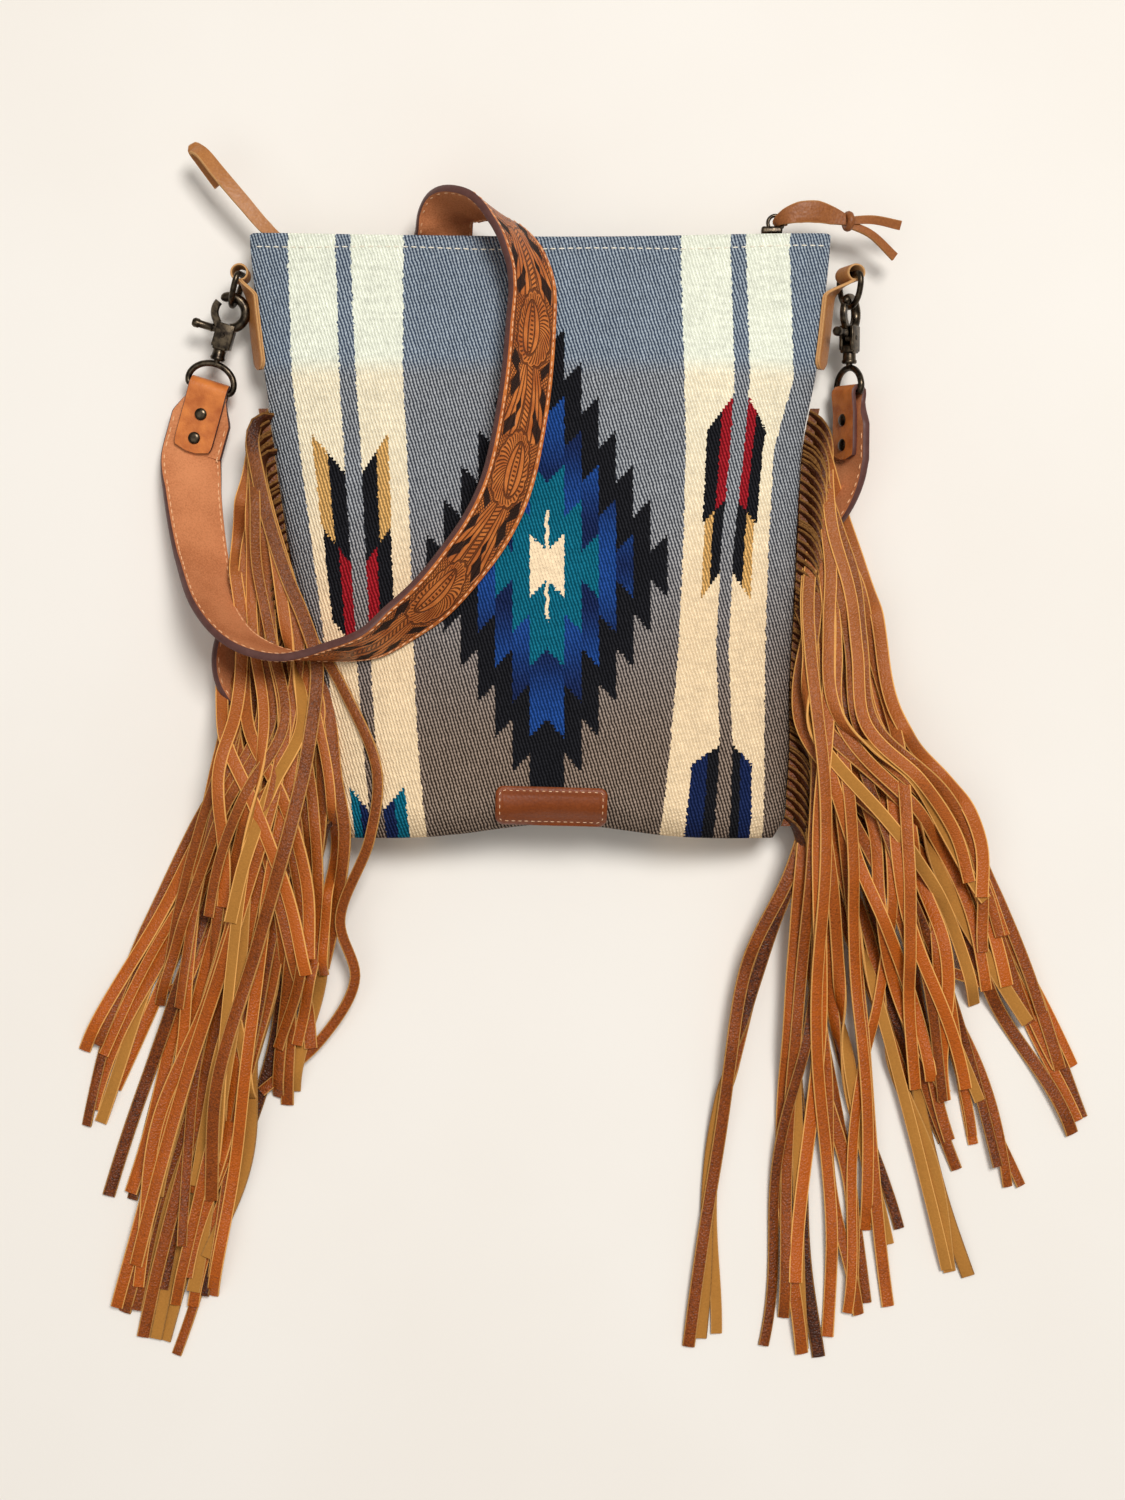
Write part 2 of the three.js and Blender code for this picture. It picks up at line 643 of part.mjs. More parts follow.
function dRing() {
  const normal = new THREE.Vector3(1, 0, 0);
  const points = [
    new THREE.Vector3(0, 0, 0),
    new THREE.Vector3(0, 0, RING.half - 3),
    new THREE.Vector3(0, -0.9, RING.half - 0.8),
  ];
  for (let k = 0; k <= 8; k += 1) {
    const angle = (Math.PI * k) / 8;
    const y = -RING.straight - (RING.depth - RING.straight) * Math.sin(angle);
    points.push(new THREE.Vector3(0, y, RING.half * Math.cos(angle)));
  }
  points.push(new THREE.Vector3(0, -0.9, 0.8 - RING.half));
  points.push(new THREE.Vector3(0, 0, 3 - RING.half));
  return wire(points, normal, RING_WIRE, 6, true);
}

function arcPoints(centre, radius, from, to, steps) {
  return Array.from({ length: steps + 1 }, (_, k) => {
    const angle = degrees(THREE.MathUtils.lerp(from, to, k / steps));
    return new THREE.Vector3(centre.x + radius * Math.cos(angle), centre.y + radius * Math.sin(angle), 0);
  });
}

function snapHook() {
  const zAxis = new THREE.Vector3(0, 0, 1);
  const centre = new THREE.Vector3(0, HOOK.centreY, 0);
  const hook = wire(arcPoints(centre, HOOK.radius, -75, 140, 12), zAxis, HOOK_WIRE, 8, false);
  const outline = new THREE.Shape();
  outline.moveTo(-4.6, HOOK.bodyTop - 1);
  outline.lineTo(5.4, HOOK.bodyTop - 1);
  outline.lineTo(5.2, HOOK.bodyFoot + 5);
  outline.lineTo(3.4, HOOK.bodyFoot);
  outline.lineTo(-3.4, HOOK.bodyFoot);
  outline.lineTo(-4.8, HOOK.bodyFoot + 5);
  const body = new THREE.ExtrudeGeometry(outline, { depth: 8, bevelEnabled: false });
  body.translate(0, 0, -4);
  const collar = new THREE.CylinderGeometry(3.8, 3.8, HOOK.bodyFoot - HOOK.collarFoot + 0.5, 12);
  collar.translate(0, (HOOK.bodyFoot + HOOK.collarFoot + 0.5) / 2, 0);
  const slot = new THREE.BoxGeometry(13, 16, 4);
  slot.translate(-3.1, PIVOT.y + 3.6, 0);
  const bore = new THREE.CylinderGeometry(2.2, 2.2, 6, 12);
  bore.translate(0, HOOK.collarFoot + 2, 0);
  const pin = new THREE.CylinderGeometry(1.3, 1.3, 8.8, 10);
  pin.rotateX(Math.PI / 2);
  pin.translate(PIVOT.x, PIVOT.y, 0);
  return join(cut(join(hook, body, collar), slot, bore), pin);
}

// Drawn about its pivot
function trigger() {
  const centre = new THREE.Vector3(0, HOOK.centreY - PIVOT.y, 0);
  const arm = new THREE.Shape();
  const outer = arcPoints(centre, HOOK.radius + 2.1, 152, 222, 6);
  const inner = arcPoints(centre, HOOK.radius - 2.1, 222, 152, 6);
  arm.setFromPoints([...outer, new THREE.Vector2(-2.4, -1.8), new THREE.Vector2(2.4, -1.4), new THREE.Vector2(2, 2.6), ...inner]);
  const flat = new THREE.ExtrudeGeometry(arm, { depth: 3, bevelEnabled: false });
  flat.translate(0, 0, -1.5);
  const root = new THREE.CylinderGeometry(3, 3, 3, 14);
  root.rotateX(Math.PI / 2);
  const lever = new THREE.CylinderGeometry(2.3, 2.5, 11.5, 10);
  lever.rotateZ(Math.PI / 2);
  lever.translate(-12.2, 2.2, 0);
  const neck = new THREE.BoxGeometry(6, 3.4, 3);
  neck.translate(-4.6, 2, 0);
  const bore = new THREE.CylinderGeometry(1.75, 1.75, 8, 12);
  bore.rotateX(Math.PI / 2);
  return cut(join(flat, root, lever, neck), bore);
}

function swivelEye() {
  const normal = new THREE.Vector3(0, 0, 1);
  const points = [
    new THREE.Vector3(0, EYE.bar, 0),
    new THREE.Vector3(EYE.half - 2.4, EYE.bar, 0),
    new THREE.Vector3(EYE.half - 0.5, EYE.bar + 1, 0),
    new THREE.Vector3(EYE.half, EYE.bar + 3, 0),
  ];
  for (let k = 1; k <= 7; k += 1) {
    const angle = (Math.PI * k) / 8;
    const rise = (EYE.top - EYE.bar - 3) * Math.sin(angle);
    points.push(new THREE.Vector3(EYE.half * Math.cos(angle), EYE.bar + 3 + rise, 0));
  }
  points.push(new THREE.Vector3(-EYE.half, EYE.bar + 3, 0));
  points.push(new THREE.Vector3(0.5 - EYE.half, EYE.bar + 1, 0));
  points.push(new THREE.Vector3(2.4 - EYE.half, EYE.bar, 0));
  const ring = wire(points, normal, EYE_WIRE, 6, true);
  const stem = new THREE.CylinderGeometry(1.7, 1.7, 7.4, 12);
  stem.translate(0, EYE.top + 3, 0);
  return join(ring, stem);
}

// Strap: one long band with a tongue folded round each eye's bar and riveted back on itself

function hangMatrix(hang, rollDegrees) {
  const place = new THREE.Matrix4().makeTranslation(hang.x, hang.y, hang.z);
  const turn = new THREE.Matrix4().makeRotationZ(degrees(hang.turn));
  const roll = new THREE.Matrix4().makeRotationY(degrees(rollDegrees));
  const dip = new THREE.Matrix4().makeRotationX(degrees(hang.dip));
  return place.multiply(turn).multiply(dip).multiply(roll);
}

const FOLD_RADIUS = EYE_WIRE + 0.5 + TONGUE_THICK / 2;
const FOLD_STEPS = 6;

// Frames of one strap end, from the tongue's tip round the bar to the full strap
function strapEnd(hang, sense) {
  const matrix = hangMatrix(hang, hang.eyeRoll);
  const across = new THREE.Vector3(sense, 0, 0).transformDirection(matrix);
  const fold = Array.from({ length: FOLD_STEPS + 1 }, (_, k) => {
    const angle = (Math.PI * k) / FOLD_STEPS;
    const down = -FOLD_RADIUS * Math.sin(angle);
    return { down, rise: FOLD_RADIUS * Math.cos(angle), width: TONGUE_WIDTH, thick: TONGUE_THICK };
  });
  const rows = [...TONGUE_ROWS, ...fold, ...SHOULDER_ROWS];
  return rows.map((row, i) => {
    const before = rows[Math.max(0, i - 1)];
    const after = rows[Math.min(rows.length - 1, i + 1)];
    const along = new THREE.Vector3(0, before.down - after.down, after.rise - before.rise);
    return {
      centre: new THREE.Vector3(0, EYE.bar - row.down, row.rise).applyMatrix4(matrix),
      across: across.clone(),
      along: along.transformDirection(matrix),
      width: row.width,
      thick: row.thick,
    };
  });
}

function strapFrames() {
  const first = strapEnd(LEFT_HANG, -1);
  const last = strapEnd(RIGHT_HANG, 1).reverse();
  last.forEach((frame) => frame.along.negate());
  const points = [
    ...first.slice(-2).map((frame) => frame.centre),
    ...STRAP_ROUTE.map((row) => new THREE.Vector3(row.x, row.y, row.z)),
    ...last.slice(0, 2).map((frame) => frame.centre),
  ];
  const endLean = 180 + RIGHT_HANG.eyeRoll;
  const leans = [180, 180, ...STRAP_ROUTE.map((row) => row.lean), endLean, endLean];
  const path = new THREE.CatmullRomCurve3(points, false, "centripetal");
  const frames = [];
  for (let span = 1; span < points.length - 2; span += 1) {
    const steps = Math.max(1, Math.round(points[span].distanceTo(points[span + 1]) / STRAP_STEP));
    for (let step = span === 1 ? 1 : 0; step < steps; step += 1) {
      const share = step / steps;
      const t = (span + share) / (points.length - 1);
      const along = path.getTangent(t);
      const left = new THREE.Vector3(-along.y, along.x, 0).normalize();
      const up = new THREE.Vector3().crossVectors(along, left);
      const lean = degrees(THREE.MathUtils.lerp(leans[span], leans[span + 1], share));
      const across = left.multiplyScalar(Math.cos(lean)).addScaledVector(up, Math.sin(lean));
      frames.push({ centre: path.getPoint(t), across, along, width: STRAP_WIDTH, thick: STRAP_THICK });
    }
  }
  return [...first, ...frames, ...last];
}

function rivetAt(hang, place, build) {
  const geometry = build();
  geometry.rotateX(Math.PI / 2);
  geometry.translate(0, EYE.bar - place, 0);
  geometry.applyMatrix4(hangMatrix(hang, hang.eyeRoll));
  return geometry;
}

function rivetHole() {
  return new THREE.CylinderGeometry(RIVET.hole, RIVET.hole, 14, 8);
}

function rivet() {
  const { shank, cap, capThick, foot, footThick, front, behind } = RIVET;
  const profile = [
    [0, behind - footThick], [foot, behind - footThick], [foot, behind], [shank, behind],
    [shank, front], [cap, front], [cap - 0.5, front + capThick], [0, front + capThick],
  ];
  return new THREE.LatheGeometry(profile.map(([x, y]) => new THREE.Vector2(x, y)), 10);
}

function tooledStrap() {
  const rings = strapFrames().map((frame) => {
    const normal = new THREE.Vector3().crossVectors(frame.along, frame.across).normalize();
    return bandRing(frame.centre, frame.across, normal, frame.width, frame.thick);
  });
  const holes = [LEFT_HANG, RIGHT_HANG].flatMap((hang) => RIVET_PLACES.map((place) => rivetAt(hang, place, rivetHole)));
  return cut(loft(rings), ...holes);
}

// Assembly

const model = new THREE.Group();
model.name = "woven_crossbody_bag";

const bag = new THREE.Group();
bag.name = "bag";
bag.add(piece("woven_body", wovenBody(), "cloth"));
bag.add(piece("zip_facing_front", facing("front"), "trim"));
bag.add(piece("zip_facing_back", facing("back"), "trim"));
bag.add(piece("zip_tape", zipTape(), "zip"));
bag.add(piece("zip_chain", zipChain(), "metal"));
bag.add(piece("zip_slider", zipSlider(), "metal"));
bag.add(piece("zip_thong", zipThong(), "trim"));
bag.add(piece("zip_end_tab", band(ZIP_END, 2, 18), "trim"));
bag.add(piece("leather_patch", leatherPatch(), "patch"));
bag.add(piece("fringe_left", fringe(-1, LEFT_LOCKS), "fringe"));
bag.add(piece("fringe_right", fringe(1, RIGHT_LOCKS), "fringe"));
model.add(bag);

function hardware(sideName, side, hang) {
  const group = new THREE.Group();
  group.name = `hardware_${sideName}`;
  const tab = piece(`side_tab_${sideName}`, sideTab(side, hang), "trim");
  group.add(tab);
  const swing = new THREE.Group();
  swing.name = `swing_${sideName}`;
  swing.applyMatrix4(hangMatrix(hang, hang.hookRoll));
  const ring = piece(`d_ring_${sideName}`, dRing(), "metal");
  ring.applyMatrix4(hangMatrix(hang, hang.ringRoll));
  group.add(ring);
  const eye = piece(`swivel_eye_${sideName}`, swivelEye(), "metal");
  eye.applyMatrix4(hangMatrix(hang, hang.eyeRoll));
  group.add(eye);
  swing.add(piece(`snap_hook_${sideName}`, snapHook(), "metal"));
  const lever = piece(`trigger_${sideName}`, trigger(), "metal");
  lever.position.copy(PIVOT);
  swing.add(lever);
  group.add(swing);
  return group;
}

model.add(hardware("left", -1, LEFT_HANG));
model.add(hardware("right", 1, RIGHT_HANG));

const carrying = new THREE.Group();
carrying.name = "carrying";
carrying.add(piece("tooled_strap", tooledStrap(), "strap"));
for (const [sideName, hang] of [["left", LEFT_HANG], ["right", RIGHT_HANG]]) {
  RIVET_PLACES.forEach((place, i) => {
    carrying.add(piece(`strap_rivet_${sideName}_${i + 1}`, rivetAt(hang, place, rivet), "metal"));
  });
}
model.add(carrying);

// The part stands on the table, centred over the origin
model.updateMatrixWorld(true);
const box = new THREE.Box3().setFromObject(model, true);
const middle = box.getCenter(new THREE.Vector3());
model.position.set(-middle.x, -middle.y, -box.min.z);

export default model;
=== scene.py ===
"""Looks of a woven crossbody bag with a tooled leather strap and long leather side fringe.

Sizes are in millimetres in the bag's own drawing: x runs to the right of its middle, y towards its mouth
and z up from the table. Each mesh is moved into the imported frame, in metres, when it is finished.
"""

import logging
import math
from collections.abc import Sequence
from dataclasses import dataclass
from enum import Enum

import bmesh
import bpy
import numpy as np
from mathutils import Matrix, Vector


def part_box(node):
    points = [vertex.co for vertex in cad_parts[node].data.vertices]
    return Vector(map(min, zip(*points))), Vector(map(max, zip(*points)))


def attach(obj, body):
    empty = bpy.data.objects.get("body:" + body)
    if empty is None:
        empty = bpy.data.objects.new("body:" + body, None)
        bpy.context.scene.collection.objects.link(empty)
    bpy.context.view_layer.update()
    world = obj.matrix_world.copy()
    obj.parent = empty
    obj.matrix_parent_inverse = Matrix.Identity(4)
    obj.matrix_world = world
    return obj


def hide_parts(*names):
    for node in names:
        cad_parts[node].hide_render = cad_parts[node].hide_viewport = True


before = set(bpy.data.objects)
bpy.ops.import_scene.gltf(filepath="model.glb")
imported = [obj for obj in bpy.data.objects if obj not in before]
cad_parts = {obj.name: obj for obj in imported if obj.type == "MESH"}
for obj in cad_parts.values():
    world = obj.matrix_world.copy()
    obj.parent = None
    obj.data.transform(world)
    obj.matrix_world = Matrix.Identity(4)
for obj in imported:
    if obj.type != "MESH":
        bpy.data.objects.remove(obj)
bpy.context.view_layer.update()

MM = 0.001
SEED = 7
GOLDEN_SHARE = 0.618034
MERGE_GAP = 1e-4
SLIVER = 1e-5

Array = np.ndarray
Colour = tuple[float, float, float, float]
Material = bpy.types.Material
Leaves = Sequence[Material]
Piece = bpy.types.Object
Shape = bmesh.types.BMesh
Socket = bpy.types.NodeSocket
Chance = np.random.Generator
X_AXIS, Y_AXIS, Z_AXIS = np.eye(3)
log = logging.getLogger("bag")


class Side(Enum):
    """The bag's two sides, seen from its front."""

    LEFT = -1
    RIGHT = 1

    @property
    def word(self) -> str:
        """Name of the side as the pieces' names have it."""
        return self.name.lower()


class Leaf(Enum):
    """Faces of a strip of leather, as material slots."""

    GRAIN = 0
    FLESH = 1
    EDGE = 2


# Tables of the form, shared by the pieces

BODY_COLUMNS = ("half", "centre", "back", "seam", "front", "round")
BODY_LEVELS = (-158, -151, -133, -110, -90, -71, -38, 11, 49, 84, 125, 150, 158)
BODY_ROWS = (
    (111, 8.5, 5, 28, 49, 0.42),
    (115, 8.5, 1, 29, 57, 0.42),
    (118.5, 7.5, 0, 29, 61, 0.45),
    (121.5, 6, 0, 29, 62, 0.48),
    (123.5, 4, 5.2, 29, 61.7, 0.49),
    (125.5, 2.5, 5.8, 29.5, 61, 0.51),
    (129.5, 0.5, 6.2, 29.5, 59, 0.54),
    (134.5, -2, 7.5, 29, 55.5, 0.57),
    (138.5, -3.5, 10, 28.5, 51, 0.6),
    (144.5, -2.5, 13, 28, 46.5, 0.62),
    (149.5, -2.5, 17, 28, 41, 0.6),
    (152, -2.5, 19, 28, 38.4, 0.56),
    (152.5, -2.5, 19.5, 28, 38, 0.56),
)
BASE_Y, TOP_Y = BODY_LEVELS[0], BODY_LEVELS[-1]

# Stripe borders across the cloth at seven levels, from the mouth to the base
STRIPE_LEVELS = (148, 82, 44, -5, -61, -107, -153)
STRIPE_BORDERS = {
    "left_outer": (-134.5, -132, -127.5, -121, -113.5, -108, -103.5),
    "left_line_outer": (-109, -106.5, -104, -100.5, -97, -93.5, -90),
    "left_line_inner": (-101.5, -98, -95, -92.5, -89.5, -87, -82),
    "left_inner": (-73.5, -73.5, -71, -69, -67, -65, -61),
    "right_inner": (73, 74.5, 75, 73.5, 70.5, 66.5, 61.5),
    "right_line_inner": (97, 98.5, 96, 91, 88, 90, 87.5),
    "right_line_outer": (105, 106.5, 103.5, 97.5, 94.5, 96.5, 95.5),
    "right_outer": (128, 130, 119, 116, 114, 113.5, 113),
}
# The same borders where the cloth lies flat: centre lines at -96 and 96, lines 8 wide, stripes 50 wide
FLAT_BORDERS = (-121, -100, -92, -68, 70, 92, 100, 121)
LINE_CENTRE = 96.0
LINE_HALF = 4.0

STRAP_ROUTE = (
    (-187.5, 26, 14, 150), (-181, -11.5, 23, 137), (-171, -39, 42, 118), (-155, -56, 53.5, 107),
    (-133, -64, 58, 97), (-109.5, -63, 64, 82), (-88.5, -58.5, 71, 68), (-74, -48.5, 71.5, 57),
    (-57, -35, 71.5, 48), (-41.5, -17, 70.5, 44), (-29, 1, 69.5, 42), (-19, 23.5, 67.5, 41),
    (-10.5, 66, 62.5, 41), (-7, 104, 57.5, 42), (-6.5, 128, 55.2, 46), (-11.5, 145, 54.6, 54),
    (-20.5, 159, 51.5, 68), (-33.5, 170, 44, 90), (-45.5, 172.5, 34, 114), (-52, 169, 22, 140),
    (-55, 158, 11, 160), (-62, 136, 5.5, 171), (-73, 102, 2.6, 180), (-92, 54, 2.6, 180),
    (-116, 6, 3, 178), (-133, -24, 6.6, 166), (-150, -41, 9.8, 154), (-163, -57, 14.6, 129),
    (-161.5, -76, 14.2, 131), (-144, -87, 9.4, 156), (-120, -80, 4.8, 172), (-88, -67, 2.7, 180),
    (-13.5, -42, 2.6, 180), (61.5, -17, 2.6, 180), (112, 0, 3, 178), (136, 9, 6.8, 165),
    (151, 21, 12, 141),
)

# Where each lock of fringe ends, from the top of the seam to its foot: x, y, bow, lie
LOCK_ENDS = {
    Side.LEFT: (
        (-168, -197, -6, 12), (-122, -228, 8, 14), (-201, -246, -7, 9), (-133, -271, 9, 12),
        (-241, -271, -12, 6), (-138, -301, 8, 10), (-170, -309, 3, 9), (-243, -313, -14, 5),
        (-182, -344, 2, 8), (-224, -351, -10, 5), (-182, -389, 5, 6), (-187, -407, 4, 5),
        (-220, -418, -8, 3), (-205, -430, -3, 3),
    ),
    Side.RIGHT: (
        (229, -187, 12, 12), (239, -215, 13, 11), (235, -246, 11, 9), (260, -258, 14, 7),
        (210, -294, 4, 9), (275, -283, 15, 5), (225, -326, 5, 8), (284, -315, 14, 4),
        (249, -343, 8, 5), (182, -374, -4, 7), (221, -389, 4, 4), (169, -413, -5, 5),
        (141, -434, -6, 4), (84, -427, -14, 3),
    ),
}

# Single strips between the locks: where each ends
LOOSE_ENDS = {
    Side.LEFT: (
        (-230, -298), (-203, -358), (-178, -330), (-160, -299), (-230, -416), (-213, -427), (-198, -409),
        (-180, -409), (-221, -388), (-208, -396), (-192, -380), (-216, -404),
    ),
    Side.RIGHT: (
        (223, -294), (233, -308), (210, -280), (225, -334), (211, -323), (197, -292), (223, -377),
        (187, -417), (173, -375), (159, -415), (152, -425), (139, -403), (125, -418), (113, -430),
    ),
}
# Strips that lie over the others or over the cloth's lower corner
STRAYS = {
    Side.LEFT: (
        ((-143, 62, 29), (-149, 61, 32), (-152.5, 52, 35), (-149, 30, 38), (-142.5, 4, 40),
         (-134, -22, 41), (-124, -46, 43), (-118, -66, 44), (-120, -100, 40), (-130, -150, 32),
         (-148, -210, 16), (-172, -290, 4), (-178, -352, 1.2)),
        ((-140, 44, 29), (-146, 42, 32), (-148.5, 34, 35), (-144.5, 14, 38), (-138, -8, 38),
         (-131, -32, 38), (-128, -62, 36), (-135, -110, 32), (-152, -170, 24), (-176, -240, 12),
         (-206, -310, 3), (-214, -372, 1.2)),
        ((-128, -42, 25), (-123, -52, 33), (-116.5, -60, 40), (-103, -82, 50), (-86, -122, 55),
         (-90, -157, 48), (-108, -202, 24), (-101, -234, 15), (-120, -267, 8), (-152, -295, 1.2)),
        ((-125, -62, 25), (-120, -72, 33), (-113, -86, 42), (-108, -126, 45), (-104, -155, 40),
         (-111, -200, 22), (-118, -228, 12)),
        ((-123, -72, 25), (-120.5, -82, 32), (-119, -92, 37), (-116, -122, 38), (-117, -150, 34),
         (-124, -190, 22), (-136, -244, 9), (-139, -286, 1.2)),
        ((-119.5, -92, 25), (-124, -102, 31), (-134, -120, 32), (-149, -149, 30), (-156, -191, 24),
         (-170, -226, 17), (-200, -240, 11)),
    ),
    Side.RIGHT: (
        ((130, -28, 25), (134, -40, 33), (141, -62, 36), (150, -100, 35), (171, -150, 30),
         (176, -200, 22), (190, -250, 12), (214, -296, 3)),
        ((128, -78, 25), (132, -90, 33), (138, -108, 36), (150, -140, 34), (182, -180, 26),
         (196, -220, 18), (232, -236, 9)),
    ),
}


# Small geometry

def mix(a: float | Array, b: float | Array, share: float | Array) -> float | Array:
    """Value between a and b at a share from 0 to 1."""
    return a + (b - a) * share


def ease(value: float | Array) -> float | Array:
    """Smooth step of a value from 0 to 1."""
    t = np.clip(value, 0.0, 1.0)
    return t * t * (3.0 - 2.0 * t)


def unit(vectors: Array) -> Array:
    """Vectors brought to length 1."""
    return vectors / np.maximum(np.linalg.norm(vectors, axis=-1, keepdims=True), 1e-9)


def cubic(levels: Sequence[float], values: Array, at: Array) -> Array:
    """Smooth curve through values at levels.

    Args:
        levels: Rising places of the known values.
        values: One row for each level.
        at: Places to read.

    Returns:
        One row for each place.
    """
    x = np.asarray(levels, float)
    slopes = np.gradient(values, x, axis=0)
    place = np.clip(at, x[0], x[-1])
    i = np.clip(np.searchsorted(x, place, side="right") - 1, 0, len(x) - 2)
    step = (x[i + 1] - x[i])[..., None]
    t = (place[..., None] - x[i][..., None]) / step
    low, high = values[i], values[i + 1]
    curve = (2 * t**3 - 3 * t**2 + 1) * low + (3 * t**2 - 2 * t**3) * high
    return curve + (t**3 - 2 * t**2 + t) * step * slopes[i] + (t**3 - t**2) * step * slopes[i + 1]


class Route:
    """Smooth line through given points."""

    def __init__(self, points: Sequence[Sequence[float]]) -> None:
        """Keeps the points, with one more laid on past each end.

        Args:
            points: The points, in order.
        """
        inner = np.asarray(points, float)
        self.count = len(inner)
        self.points = np.vstack([2 * inner[0] - inner[1], inner, 2 * inner[-1] - inner[-2]])

    def at(self, t: Array) -> Array:
        """Points of the line.

        Args:
            t: Places from 0 at the first point to 1 at the last.

        Returns:
            An array of points.
        """
        place = np.clip(t, 0, 1) * (self.count - 1)
        i = np.minimum(place.astype(int), self.count - 2)
        w = (place - i)[:, None]
        p0, p1, p2, p3 = (self.points[i + k] for k in range(4))
        d0, d1, d2 = (np.sqrt(np.linalg.norm(b - a, axis=1, keepdims=True))
                      for a, b in ((p0, p1), (p1, p2), (p2, p3)))
        d0, d1, d2 = (np.maximum(d, 1e-4) for d in (d0, d1, d2))
        m1 = ((p1 - p0) / d0 - (p2 - p0) / (d0 + d1) + (p2 - p1) / d1) * d1
        m2 = ((p2 - p1) / d1 - (p3 - p1) / (d1 + d2) + (p3 - p2) / d2) * d1
        a, b = 2 * p1 - 2 * p2 + m1 + m2, -3 * p1 + 3 * p2 - 2 * m1 - m2
        return a * w**3 + b * w**2 + m1 * w + p1

    def even(self, count: int) -> Array:
        """Points spaced evenly along the line."""
        fine = self.at(np.linspace(0, 1, 24 * self.count))
        return resample(fine, count)


def run_length(points: Array) -> Array:
    """Length of a line of points up to each of them."""
    return np.concatenate([[0.0], np.cumsum(np.linalg.norm(np.diff(points, axis=0), axis=1))])


def resample(points: Array, count: int) -> Array:
    """The same line with its points spaced evenly."""
    length = run_length(points)
    return np.stack([np.interp(np.linspace(0, length[-1], count), length, c) for c in points.T], axis=1)


def tangents(points: Array, closed: bool = False) -> Array:
    """Direction of a line at each of its points."""
    ring = np.roll(points, -1, axis=0) - np.roll(points, 1, axis=0)
    return unit(ring if closed else np.gradient(points, axis=0))


def band_frames(points: Array, roll: Array) -> tuple[Array, Array]:
    """Across and normal directions of a band that follows points.

    Args:
        points: Centre line.
        roll: Lean of the width from level, in radians.

    Returns:
        The across and the normal directions.
    """
    along = tangents(points)
    level = unit(np.stack([-along[:, 1], along[:, 0], np.zeros(len(along))], axis=1))
    up = np.cross(along, level)
    across = level * np.cos(roll)[:, None] + up * np.sin(roll)[:, None]
    return across, np.cross(along, across)


def ribbon_section(round_share: float, top: int, bottom: int) -> tuple[Array, list[int]]:
    """Closed section of a strip of leather, in shares of its width and thickness.

    Args:
        round_share: How far the softened corners reach in, as a share of the width.
        top: Points across the grain side.
        bottom: Points across the flesh side.

    Returns:
        The points, and the leaf that the face after each point belongs to.
    """
    reach = 0.5 - round_share
    upper = [(a, 0.5) for a in np.linspace(-reach, reach, top)]
    lower = [(a, -0.5) for a in np.linspace(reach, -reach, bottom)]
    right, left = [(0.5, 0.28), (0.5, -0.28)], [(-0.5, -0.28), (-0.5, 0.28)]
    points = np.array(upper + right + lower + left)
    edge = [Leaf.EDGE.value] * 3
    leaves = [Leaf.GRAIN.value] * (top - 1) + edge + [Leaf.FLESH.value] * (bottom - 1) + edge
    return points, leaves


def sweep(
    points: Array, across: Array, normal: Array, width: float | Array, thick: float | Array, section: Array
) -> Array:
    """Rings of a section carried along a line.

    Args:
        points: Centre line.
        across: Direction of the width, at each point or for all.
        normal: Direction of the thickness, at each point or for all.
        width: Width, at each point or for all.
        thick: Thickness, at each point or for all.
        section: Closed section in shares of width and thickness.

    Returns:
        An array of rings.
    """
    side = (across * np.reshape(width, (-1, 1)))[:, None] * section[None, :, 0:1]
    rise = (normal * np.reshape(thick, (-1, 1)))[:, None] * section[None, :, 1:2]
    return points[:, None] + side + rise


def wire_rings(points: Array, plane: Array, radius: float | Array, sides: int, closed: bool) -> Array:
    """Rings of a round wire along a flat line.

    Args:
        points: Centre line, in one plane.
        plane: Normal of that plane.
        radius: Radius, one for all points or one for each.
        sides: Points round the wire.
        closed: Whether the line meets itself.

    Returns:
        An array of rings.
    """
    side = unit(np.cross(tangents(points, closed), plane))
    turn = 2 * np.pi * np.arange(sides) / sides
    r = np.broadcast_to(np.asarray(radius, float), (len(points),))[:, None, None]
    out = side[:, None] * np.cos(turn)[:, None] + np.asarray(plane) * np.sin(turn)[:, None]
    return points[:, None] + r * out


# Meshes

def skin(
    bm: Shape,
    rings: Array,
    leaves: Sequence[int] | None = None,
    values: dict[str, Array] | None = None,
    loop: bool = False,
) -> None:
    """Lays a grid over rings of points that each close on themselves.

    Args:
        bm: Mesh that takes the grid.
        rings: Points, one row for each ring.
        leaves: Material slot of each column of faces.
        values: Numbers kept on the points, one for each point of the rings.
        loop: Whether the last ring meets the first.
    """
    rows, columns = rings.shape[:2]
    spans = rows if loop else rows - 1
    bm.loops.layers.uv.verify()
    kept = bm.verts.layers.float
    layers = {name: kept.get(name) or kept.new(name) for name in values or {}}
    first = len(bm.faces)
    made = bmesh.ops.create_grid(bm, x_segments=columns, y_segments=spans, size=0.5, calc_uvs=True)["verts"]
    for k, vert in enumerate(made):
        j, i = divmod(k, columns + 1)
        vert.co = rings[j % rows, i % columns]
        for name, layer in layers.items():
            vert[layer] = values[name][j % rows, i % columns]
    if leaves is not None:
        bm.faces.ensure_lookup_table()
        for k in range(first, len(bm.faces)):
            bm.faces[k].material_index = leaves[(k - first) % columns]


def block(bm: Shape, size: Sequence[float], at: Sequence[float], soft: float) -> None:
    """Adds a box with softened edges.

    Args:
        bm: Mesh that takes the box.
        size: Its three lengths.
        at: Its middle.
        soft: Width of the bevel.
    """
    place = Matrix.Translation(at) @ Matrix.Diagonal((*size, 1.0))
    made = bmesh.ops.create_cube(bm, size=1.0, matrix=place)["verts"]
    edges = list({edge for vert in made for edge in vert.link_edges})
    bmesh.ops.bevel(bm, geom=edges, offset=soft, affect="EDGES", segments=3, profile=0.5, material=-1)


